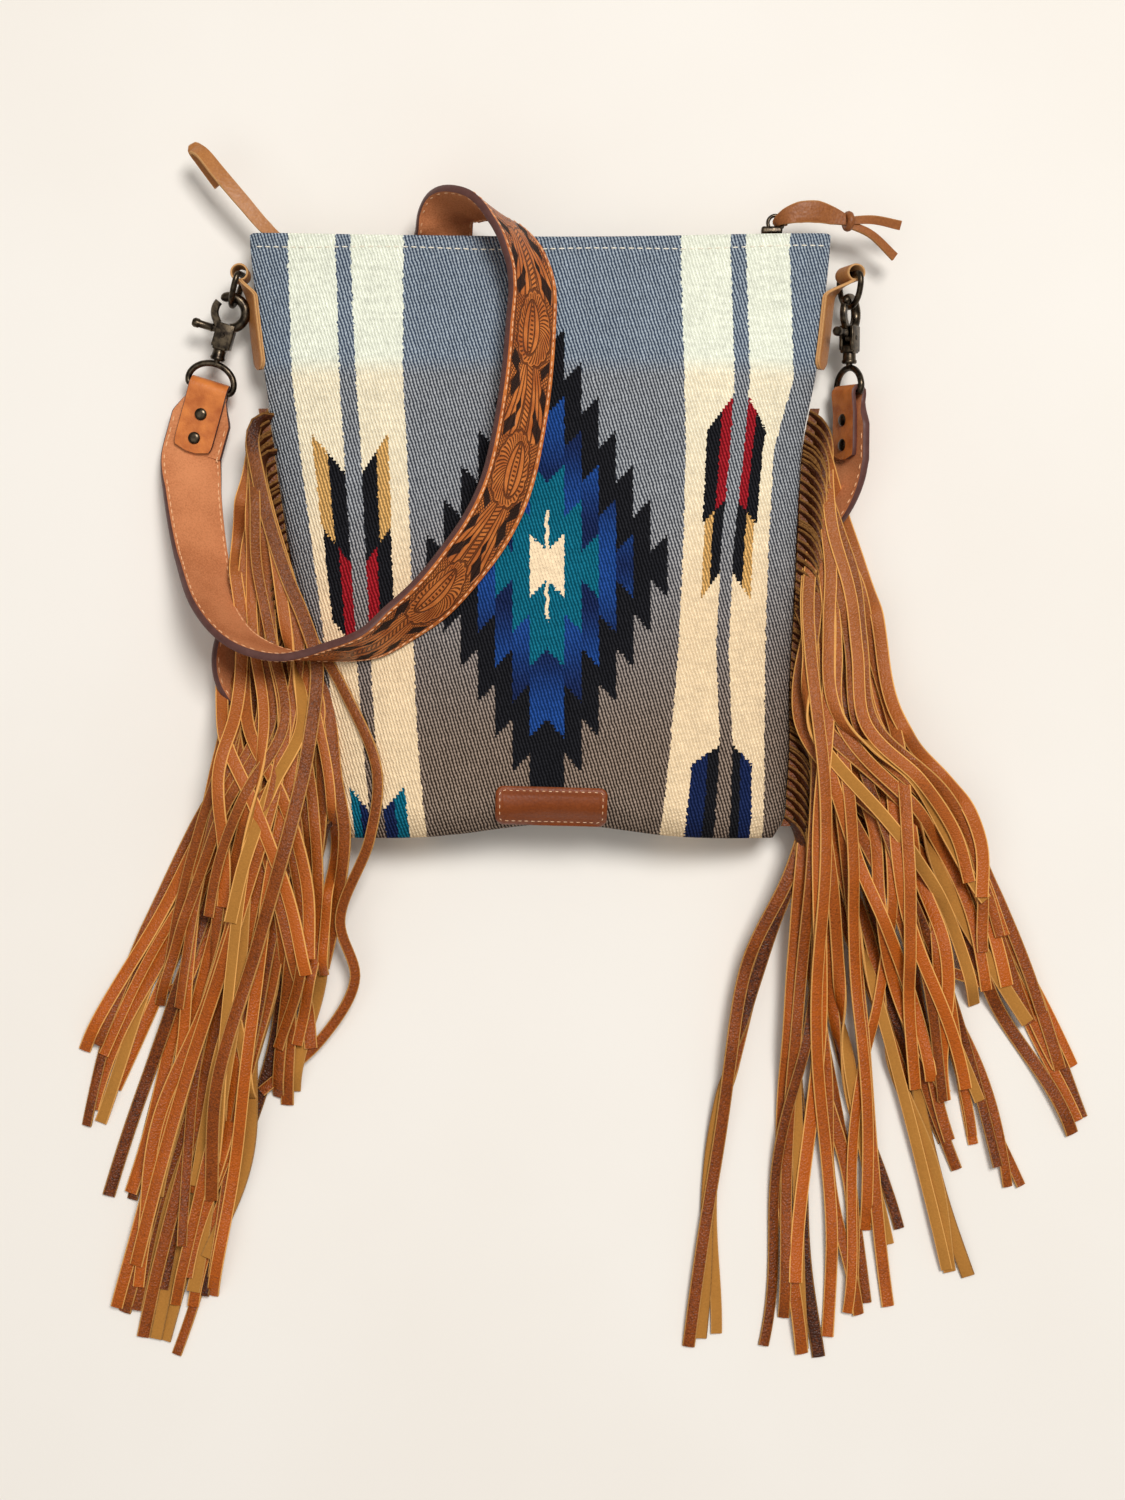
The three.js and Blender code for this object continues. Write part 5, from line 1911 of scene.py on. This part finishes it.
@dataclass
class Patch:
    """Bare sewn leather patch near the base."""

    leaves: Leaves
    thread: Material
    stitch_size: tuple[float, float] = (2.3, 0.6)
    x: float = 3.5
    y: float = -141.0
    width: float = 57.0
    height: float = 20.0
    thick: float = 2.0
    lift: float = 0.9
    turn: float = -1.5
    corner: float = 4.0
    columns: int = 64
    rows: int = 24
    stitch_inset: float = 2.2
    stitch_pitch: float = 3.2

    def spot(self, across: Array, along: Array, lift: Array) -> Array:
        """Points of the patch laid on the cloth.

        Args:
            across: Places along its width.
            along: Places along its height.
            lift: Heights over the cloth.

        Returns:
            The points.
        """
        turn = math.radians(self.turn)
        x = self.x + across * math.cos(turn) - along * math.sin(turn)
        y = self.y + across * math.sin(turn) + along * math.cos(turn)
        return np.stack([x, y, FORM.front(x, y) + lift], axis=-1)

    def half_height(self, across: Array, inset: float = 0.0) -> Array:
        """Half the patch's height at a place across it, within its rounded corners.

        Args:
            across: Places along its width.
            inset: How far inside its border.

        Returns:
            Half the height.
        """
        corner = max(self.corner - inset, 0.6)
        short = np.maximum(0, np.abs(across) - (self.width / 2 - inset - corner))
        return self.height / 2 - inset - corner + np.sqrt(np.maximum(0, corner**2 - short**2))

    def build(self) -> None:
        """Builds and dresses the patch and its stitches."""
        across = np.sin(np.linspace(-np.pi / 2, np.pi / 2, self.columns)) * self.width / 2
        half = np.maximum(self.half_height(across), 0.4)
        share = np.linspace(-1, 1, self.rows)
        along = half[:, None] * share
        wide = np.broadcast_to(across[:, None], along.shape)
        edge = np.minimum(half[:, None] - np.abs(along), self.width / 2 - np.abs(wide))
        top = self.lift + self.thick - 0.55 * ease((edge - 2.6) / 1.6) - 0.7 * (1 - ease(edge / 1.2))
        upper = self.spot(wide, along, top)
        lower = self.spot(wide, along, np.full_like(along, self.lift))[:, ::-1]
        rings = np.concatenate([upper, lower], axis=1)
        bm = bmesh.new()
        span, rim = self.rows - 1, [Leaf.EDGE.value]
        slots = [Leaf.GRAIN.value] * span + rim + [Leaf.FLESH.value] * span + rim
        skin(bm, rings, slots, toned(rings, 0.55))
        dress(settle(bm, "patch_leather", self.leaves), "bag", "patch_leather", "leather_patch")
        dress(self.stitches(), "bag", "patch_leather")

    def stitches(self) -> Piece:
        """Stitches round the patch's border.

        Returns:
            The piece.
        """
        inset = self.stitch_inset
        run = np.linspace(-self.width / 2 + inset, self.width / 2 - inset, 200)
        half = self.half_height(run, inset)
        upper, lower = np.stack([run, half], 1), np.stack([run[::-1], -half[::-1]], 1)
        flat = np.concatenate([upper, lower, upper[:1]])
        loop = np.column_stack([flat, np.zeros(len(flat))])
        even = resample(loop, int(run_length(loop)[-1] / self.stitch_pitch))[:-1]
        lift = np.full(len(even), self.lift + self.thick - 0.15)
        points = self.spot(even[:, 0], even[:, 1], lift)
        along = tangents(points, True)
        shape = stitch_shape(*self.stitch_size)
        return scattered(shape, points, along, Z_AXIS, "patch_stitches", self.thread)


# Side hardware

def rotation(degrees: float, axis: str) -> Matrix:
    """Turn about an axis."""
    return Matrix.Rotation(math.radians(degrees), 4, axis)


@dataclass(frozen=True)
class Hang:
    """Where a side's ring hangs and how its pieces lie, in degrees."""

    x: float
    y: float
    z: float
    turn: float
    dip: float
    ring_roll: float
    hook_roll: float
    eye_roll: float

    def matrix(self, roll: float) -> Matrix:
        """Place of a piece that hangs with a roll of its own."""
        lie = rotation(self.turn, "Z") @ rotation(self.dip, "X") @ rotation(roll, "Y")
        return Matrix.Translation((self.x, self.y, self.z)) @ lie


HANGS = {
    Side.LEFT: Hang(-160, 138, 26, -17, 8, 0, 0, 0),
    Side.RIGHT: Hang(160.5, 138, 26, 0, 5.2, 27, 60, -66),
}
EYE_BAR = -62.0


def rounded_loop(corners: Array, count: int, passes: int) -> Array:
    """Closed line through corners with its bends softened.

    Args:
        corners: Points of the line.
        count: Points of the result.
        passes: How often neighbours are averaged.

    Returns:
        The line's points.
    """
    points = resample(np.vstack([corners, corners[:1]]), count + 1)[:-1]
    for _ in range(passes):
        points = 0.5 * points + 0.25 * (np.roll(points, 1, axis=0) + np.roll(points, -1, axis=0))
    return points


@dataclass
class SideHardware:
    """Leather tab, D-ring, swivel snap hook with its trigger, and the strap's eye on one side."""

    side: Side
    leaves: Leaves
    metal: Material
    ring_half: float = 10.0
    ring_depth: float = 17.0
    ring_wire: float = 1.6
    eye_half: float = 12.5
    eye_top: float = -48.6
    eye_wire: float = 1.7
    hook_middle: float = -20.6
    hook_radius: float = 8.2
    hook_wire: float = 2.6
    pivot: float = -33.0
    tab_width: float = 12.4
    tab_foot: float = 88.0
    tab_neck: float = 125.5
    tab_leaf: float = 1.15
    tab_eye: float = 4.2
    tab_lean: float = 28.0
    tab_steps: int = 120
    collar_y: float = -46.5
    lever_width: float = 4.0
    lever_thick: float = 3.0

    # Blocks: size, middle and bevel
    hook_blocks = (
        ((9.6, 13.0, 2.0), (0.1, -33.2, -3.0), 0.6), ((9.6, 13.0, 2.0), (0.1, -33.2, 3.0), 0.6),
        ((7.6, 4.2, 7.8), (0, -39.0, 0), 0.9), ((2.0, 13.4, 7.8), (4.3, -33.4, 0), 0.6),
    )
    lever_block = ((5.2, 3.2, 2.9), (-5.0, 2.0, 0), 0.4)
    # Turned pieces: radius and height of each point
    stem_profile = ((0, 0), (1.7, 0), (1.7, 6.9), (1.2, 7.4), (0, 7.4))
    collar_profile = (
        (2.2, 0), (3.5, 0), (4.0, 0.7), (4.0, 1.5), (3.5, 2.2), (3.4, 5.8), (2.2, 5.8), (2.2, 0))
    pin_profile = ((0, -4.4), (1.0, -4.4), (1.3, -4.1), (1.3, 4.1), (1.0, 4.4), (0, 4.4))
    boss_profile = (
        (1.75, -1.5), (2.7, -1.5), (3.0, -1.2), (3.0, 1.2), (2.7, 1.5), (1.75, 1.5), (1.75, -1.5))
    knob_profile = (
        (0, 0), (2.0, 0), (2.3, 0.6), (2.0, 1.4), (2.0, 7.4), (2.5, 8.2),
        (2.5, 10.4), (1.8, 11.4), (0, 11.6))

    @property
    def hang(self) -> Hang:
        """Where this side hangs."""
        return HANGS[self.side]

    def tab(self) -> Piece:
        """The folded tab: up along the seam, round the ring's bar and down again.

        Returns:
            The piece.
        """
        hang = self.hang
        y = np.linspace(self.tab_foot, hang.y - self.tab_eye * 0.8, 40)
        lift = ease((y - self.tab_neck) / (hang.y - 2 - self.tab_neck))
        seam = FORM.seam(self.side, y, 2.1)[:, 0]
        x = mix(seam, hang.x, lift)
        turn = np.linspace(-0.5, 0.5, 26) * np.pi * 1.7
        eye = np.stack([hang.x + self.tab_eye * np.sin(turn), hang.y + self.tab_eye * np.cos(turn)], axis=1)
        off = self.tab_leaf * 0.52
        path = np.concatenate([np.stack([x - off, y], 1), eye, np.stack([x + off, y], 1)[::-1]])
        path = resample(np.column_stack([path, np.full(len(path), hang.z)]), self.tab_steps)
        bent = ease((path[:, 1] - self.tab_neck) / 10)
        roll = np.radians(mix(-self.side.value * self.tab_lean, hang.ring_roll, bent))
        across = np.stack([np.sin(roll), np.zeros(self.tab_steps), np.cos(roll)], axis=1)
        normal = unit(np.cross(across, tangents(path)))
        place = np.arange(self.tab_steps)
        end = np.minimum(place, place[::-1])
        width = self.tab_width * np.sqrt(np.clip(1 - (1 - np.minimum(end / 5.0, 1)) ** 2, 0.12, 1))
        section, slots = ribbon_section(0.05, 5, 5)
        rings = sweep(path, across, normal, width, self.tab_leaf, section)
        bm = bmesh.new()
        skin(bm, rings, slots, toned(rings, 0.5))
        return settle(bm, f"tab_{self.side.word}", self.leaves)

    def ring(self) -> Piece:
        """The D-ring.

        Returns:
            The piece.
        """
        turn = np.linspace(0, np.pi, 30)
        down = -3 - (self.ring_depth - 3) * np.sin(turn)
        arc = np.stack([np.zeros(len(turn)), down, self.ring_half * np.cos(turn)], 1)
        corners = np.vstack([[(0, 0, -self.ring_half + 1.2), (0, 0, self.ring_half - 1.2)], arc])
        loop = rounded_loop(corners, 72, 4)
        bm = bmesh.new()
        skin(bm, wire_rings(loop, X_AXIS, self.ring_wire, 12, True), loop=True)
        place = self.hang.matrix(self.hang.ring_roll)
        return settle(bm, f"ring_{self.side.word}", [self.metal], place=place)

    def eye(self) -> Piece:
        """The strap's eye with the stem that turns in the hook's collar.

        Returns:
            The piece.
        """
        turn = np.linspace(0, np.pi, 30)
        rise = self.eye_top - EYE_BAR - 3
        up = EYE_BAR + 3 + rise * np.sin(turn)
        arc = np.stack([self.eye_half * np.cos(turn), up, np.zeros(len(turn))], 1)
        corners = np.vstack([[(-self.eye_half + 1, EYE_BAR, 0), (self.eye_half - 1, EYE_BAR, 0)], arc])
        loop = rounded_loop(corners, 72, 3)
        bm = bmesh.new()
        skin(bm, wire_rings(loop, Z_AXIS, self.eye_wire, 12, True), loop=True)
        stem = Matrix.Translation((0, self.eye_top - 0.7, 0)) @ Matrix.Rotation(-math.pi / 2, 4, "X")
        turned(bm, self.stem_profile, 20, stem)
        return settle(bm, f"eye_{self.side.word}", [self.metal], place=self.hang.matrix(self.hang.eye_roll))

    def bend(self, turn: Array, middle: float) -> Array:
        """Part of the hook's round about a middle on its axis."""
        x, y = self.hook_radius * np.cos(turn), middle + self.hook_radius * np.sin(turn)
        return np.stack([x, y, np.zeros(len(turn))], axis=1)

    def hook(self) -> Piece:
        """The hook with its slotted body, its collar and the trigger's pin.

        Returns:
            The piece.
        """
        turn = np.radians(np.linspace(-75, 140, 44))
        tip = np.minimum(np.arange(len(turn))[::-1] / 4.0, 1.0)
        radius = self.hook_wire * np.sqrt(np.clip(1 - (1 - tip) ** 2, 0.1, 1))
        bm = bmesh.new()
        skin(bm, wire_rings(self.bend(turn, self.hook_middle), Z_AXIS, radius, 14, False))
        for row in self.hook_blocks:
            block(bm, *row)
        collar = Matrix.Translation((0, self.collar_y, 0)) @ Matrix.Rotation(-math.pi / 2, 4, "X")
        turned(bm, self.collar_profile, 24, collar)
        pin = Matrix.Translation((0, self.pivot, 0))
        turned(bm, self.pin_profile, 16, pin)
        place = self.hang.matrix(self.hang.hook_roll)
        return settle(bm, f"hook_{self.side.word}", [self.metal], place=place)

    def trigger(self) -> Piece:
        """The sprung lever that closes the hook.

        Returns:
            The piece.
        """
        turn = np.radians(np.linspace(152, 222, 16))
        arc = self.bend(turn, self.hook_middle - self.pivot)
        path = Route([*arc[::3], (-3.4, 3.6, 0), (-0.6, 2.0, 0)]).even(30)
        section, _ = ribbon_section(0.12, 3, 3)
        bm = bmesh.new()
        across = unit(np.cross(tangents(path), Z_AXIS))
        skin(bm, sweep(path, across, Z_AXIS, self.lever_width, self.lever_thick, section))
        turned(bm, self.boss_profile, 20, Matrix.Identity(4))
        block(bm, *self.lever_block)
        knob = Matrix.Translation((-6.4, 2.2, 0)) @ Matrix.Rotation(-math.pi / 2, 4, "Y")
        turned(bm, self.knob_profile, 20, knob)
        place = self.hang.matrix(self.hang.hook_roll) @ Matrix.Translation((0, self.pivot, 0))
        return settle(bm, f"lever_{self.side.word}", [self.metal], place=place)

    def build(self) -> None:
        """Builds and dresses the side's pieces."""
        word = self.side.word
        dress(self.tab(), "bag", "tan_leather", f"side_tab_{word}")
        dress(self.ring(), "bag", "dark_metal", f"d_ring_{word}")
        dress(self.eye(), "bag", "dark_metal", f"swivel_eye_{word}")
        dress(self.hook(), f"hook_{word}", "dark_metal", f"snap_hook_{word}")
        dress(self.trigger(), f"lever_{word}", "dark_metal", f"trigger_{word}")


# Strap

@dataclass
class Strap:
    """Two-layer strap with tooled grain, a tongue folded round each eye, and rivets."""

    leaves: Leaves
    thread: Material
    metal: Material
    stitch_size: tuple[float, float] = (3.2, 0.8)
    width: float = 32.0
    thick: float = 4.0
    tongue_width: float = 21.0
    tongue_thick: float = 2.4
    step: float = 2.0
    grain_points: int = 16
    flesh_points: int = 10
    stitch_inset: float = 2.0
    stitch_pitch: float = 4.3
    fold_radius: float = 3.4
    rivet_places: tuple[float, float] = (14.0, 27.0)

    rivet_profile = (
        (0, -4.7), (2.5, -4.7), (2.8, -4.3), (2.8, -3.8), (1.5, -3.8), (1.5, 3.8), (3.2, 3.8), (3.2, 4.2),
        (2.6, 4.75), (1.4, 5.0), (0, 5.0))

    def end_rows(self) -> Array:
        """Rows of one end: down from the bar, in front of it, width and thickness.

        Returns:
            The rows.
        """
        w, t = self.tongue_width, self.tongue_thick
        tip = [(34.6 - 6 * k * k, 2.3, w * math.sqrt(1 - (1 - k) ** 2 * 0.93), t)
               for k in np.linspace(0, 1, 8)]
        tongue = [*tip, (20, 2.3, w, t), (10, 2.3, w, t), (5, 2.9, w, t)]
        turn = np.linspace(0, np.pi, 14)
        fold = [(-self.fold_radius * math.sin(a), self.fold_radius * math.cos(a), w, t) for a in turn]
        shoulder = [(5, -2.7, w, 2.6), (10, -1.5, 26, self.thick), (16, -1.5, self.width, self.thick),
                    (26, -1.5, self.width, self.thick), (36, -1.5, self.width, self.thick)]
        return np.array([*tongue, *fold, *shoulder], float)

    def end(self, side: Side) -> dict[str, Array]:
        """Frames of one end, from the tongue's tip to the full strap.

        Args:
            side: Which end.

        Returns:
            Centres, directions, widths and thicknesses.
        """
        hang = HANGS[side]
        matrix = np.array(hang.matrix(hang.eye_roll))
        rows = self.end_rows()
        local = np.stack([np.zeros(len(rows)), EYE_BAR - rows[:, 0], rows[:, 1]], axis=1)
        centre = local @ matrix[:3, :3].T + matrix[:3, 3]
        across = np.tile(matrix[:3, 0] * side.value, (len(rows), 1))
        return {"centre": centre, "across": across, "width": rows[:, 2], "thick": rows[:, 3]}

    def frames(self) -> dict[str, Array]:
        """Frames of the whole strap, spaced evenly.

        Returns:
            The same, with the normals and the run.
        """
        first, last = self.end(Side.LEFT), self.end(Side.RIGHT)
        last = {name: rows[::-1] for name, rows in last.items()}
        route = np.array(STRAP_ROUTE, float)
        points = np.vstack([first["centre"][-2:], route[:, :3], last["centre"][:2]])
        end_lean = 180 + HANGS[Side.RIGHT].eye_roll
        leans = np.concatenate([[180, 180], route[:, 3], [end_lean, end_lean]])
        span = len(points) - 1
        t = np.linspace(1 / span, 1 - 1 / span, 900)[1:-1]
        centre = Route(points).at(t)
        across, _ = band_frames(centre, np.radians(np.interp(t * span, np.arange(span + 1), leans)))
        width, thick = np.full(len(t), self.width), np.full(len(t), self.thick)
        middle = {"centre": centre, "across": across, "width": width, "thick": thick}
        joined = {name: np.concatenate([first[name], middle[name], last[name]]) for name in middle}
        length = run_length(joined["centre"])
        at = np.linspace(0, length[-1], int(length[-1] / self.step))
        made = {}
        for name, rows in joined.items():
            columns = rows.reshape(len(rows), -1)
            even = np.stack([np.interp(at, length, column) for column in columns.T], axis=1)
            made[name] = even if even.shape[1] > 1 else even[:, 0]
        made["along"] = tangents(made["centre"])
        made["across"] = unit(made["across"])
        made["normal"] = unit(np.cross(made["along"], made["across"]))
        made["run"] = at
        return made

    def build(self) -> None:
        """Builds and dresses the strap, its stitches and its rivets."""
        f = self.frames()
        section, slots = ribbon_section(0.018, self.grain_points, self.flesh_points)
        rings = sweep(f["centre"], f["across"], f["normal"], f["width"], f["thick"], section)
        plain = 40.0 * (f["width"] < self.width - 1)
        across = section[None, :, 0] * f["width"][:, None] + plain[:, None]
        run = np.broadcast_to(f["run"][:, None], across.shape)
        bm = bmesh.new()
        skin(bm, rings, slots, {"run": run, "across": across})
        dress(settle(bm, "strap_leather", self.leaves, 50.0), "bag", "tooled_leather", "tooled_strap")
        dress(self.stitches(f), "bag", "tooled_leather")
        for side in Side:
            for k, place in enumerate(self.rivet_places, start=1):
                name = f"strap_rivet_{side.word}_{k}"
                dress(self.rivet(side, place, f"rivet_{side.word}_{k}"), "bag", "dark_metal", name)

    def stitches(self, f: dict[str, Array]) -> Piece:
        """Two lines of stitches on both faces of the full strap.

        Args:
            f: Frames of the strap.

        Returns:
            The piece.
        """
        full = f["run"][f["width"] > self.width - 0.2]
        at = np.arange(full[0] + 4, full[-1] - 4, self.stitch_pitch)
        near = np.searchsorted(f["run"], at)
        points, along, normal = [], [], []
        for a in (-1, 1):
            for b in (-1, 1):
                lift = f["normal"][near] * b
                side = f["across"][near] * (a * (self.width / 2 - self.stitch_inset))
                points.append(f["centre"][near] + side + lift * (self.thick / 2 + 0.05))
                along.append(f["along"][near])
                normal.append(lift)
        joined = (np.concatenate(rows) for rows in (points, along, normal))
        return scattered(stitch_shape(*self.stitch_size), *joined, "strap_stitches", self.thread)

    def rivet(self, side: Side, place: float, name: str) -> Piece:
        """One rivet with a domed cap.

        Args:
            side: Which end.
            place: Distance from the eye's bar.
            name: Name of the piece.

        Returns:
            The piece.
        """
        bm = bmesh.new()
        turned(bm, self.rivet_profile, 24, Matrix.Translation((0, EYE_BAR - place, 0)))
        hang = HANGS[side]
        return settle(bm, name, [self.metal], place=hang.matrix(hang.eye_roll))


# Camera, light and table

@dataclass(frozen=True)
class Studio:
    """View from straight above a pale table, under soft light."""

    eye: tuple[float, float, float] = (9.2, -112.1, 1200.0)
    pixels_per_mm: float = 1.9
    picture_long: float = 1500.0
    focus_height: float = 25.0
    sensor: float = 36.0
    room: Colour = (1.0, 0.985, 0.96, 1.0)
    room_strength: float = 0.24
    table_half: float = 4.0
    table_drop: float = 0.0004

    # Name, place in millimetres, side in metres and power in watts
    lamps = (("key", (780, 980, 3500), 1.1, 108.0), ("fill", (-600, -560, 2000), 2.0, 9.0))

    def build(self) -> None:
        """Makes the camera, the lights and the table."""
        scene = bpy.context.scene
        scene.view_settings.view_transform = "Standard"
        data = bpy.data.cameras.new("camera")
        focal = self.pixels_per_mm * (self.eye[2] - self.focus_height)
        data.sensor_width = self.sensor
        data.lens = focal / self.picture_long * self.sensor
        camera = bpy.data.objects.new("camera", data)
        camera.location = frame_point(*self.eye)
        scene.collection.objects.link(camera)
        scene.camera = camera
        for row in self.lamps:
            self.light(*row)
        world = bpy.data.worlds.new("soft_room")
        world.use_nodes = True
        room = world.node_tree.nodes["Background"]
        room.inputs["Color"].default_value = self.room
        room.inputs["Strength"].default_value = self.room_strength
        scene.world = world
        self.table()

    def light(self, name: str, at: tuple[float, float, float], size: float, power: float) -> None:
        """Makes a square soft light that faces the bag.

        Args:
            name: Its name.
            at: Where it stands.
            size: Its side, in metres.
            power: Its power, in watts.
        """
        data = bpy.data.lights.new(name, "AREA")
        data.size = size
        data.energy = power
        lamp = bpy.data.objects.new(name, data)
        lamp.location = frame_point(*at)
        lamp.rotation_mode = "QUATERNION"
        lamp.rotation_quaternion = (frame_point(0, -100, 0) - lamp.location).to_track_quat("-Z", "Y")
        bpy.context.scene.collection.objects.link(lamp)

    def table(self) -> None:
        """Makes the pale table top."""
        bm = bmesh.new()
        bmesh.ops.create_grid(bm, x_segments=1, y_segments=1, size=self.table_half)
        bmesh.ops.translate(bm, verts=bm.verts, vec=(0, 0, -self.table_drop))
        mesh = bpy.data.meshes.new("table")
        bm.to_mesh(mesh)
        bm.free()
        finished(mesh, "table", [TABLE_TOP.material()], 30.0)


def main() -> None:
    """Builds the pieces in order and reports each."""
    logging.basicConfig(level=logging.INFO, format="%(name)s: %(message)s")
    rng = np.random.default_rng(SEED)
    Studio().build()
    body = WovenBody(WovenWool().material(), CREAM_THREAD.material())
    dress(body.build(), "bag", "woven_cloth", "woven_body")
    dress(body.stitches(), "bag", "woven_cloth")
    fringe_leaves = FRINGE_LEATHER.materials()
    for side in Side:
        dress(Fringe(side, fringe_leaves, rng).build(), "bag", "fringe_leather", f"fringe_{side.word}")
    metal = DARK_BRONZE.material()
    tab_leaves = TAB_LEATHER.materials()
    Mouth(DARK_LEATHER.materials(), tab_leaves, ZIP_CLOTH.material(), metal).build()
    Patch(PATCH_LEATHER.materials(), TAN_THREAD.material()).build()
    for side in Side:
        SideHardware(side, tab_leaves, metal).build()
    Strap(ToolingLeather().materials(), STRAP_THREAD.material(), metal).build()


if __name__ == "__main__":
    main()
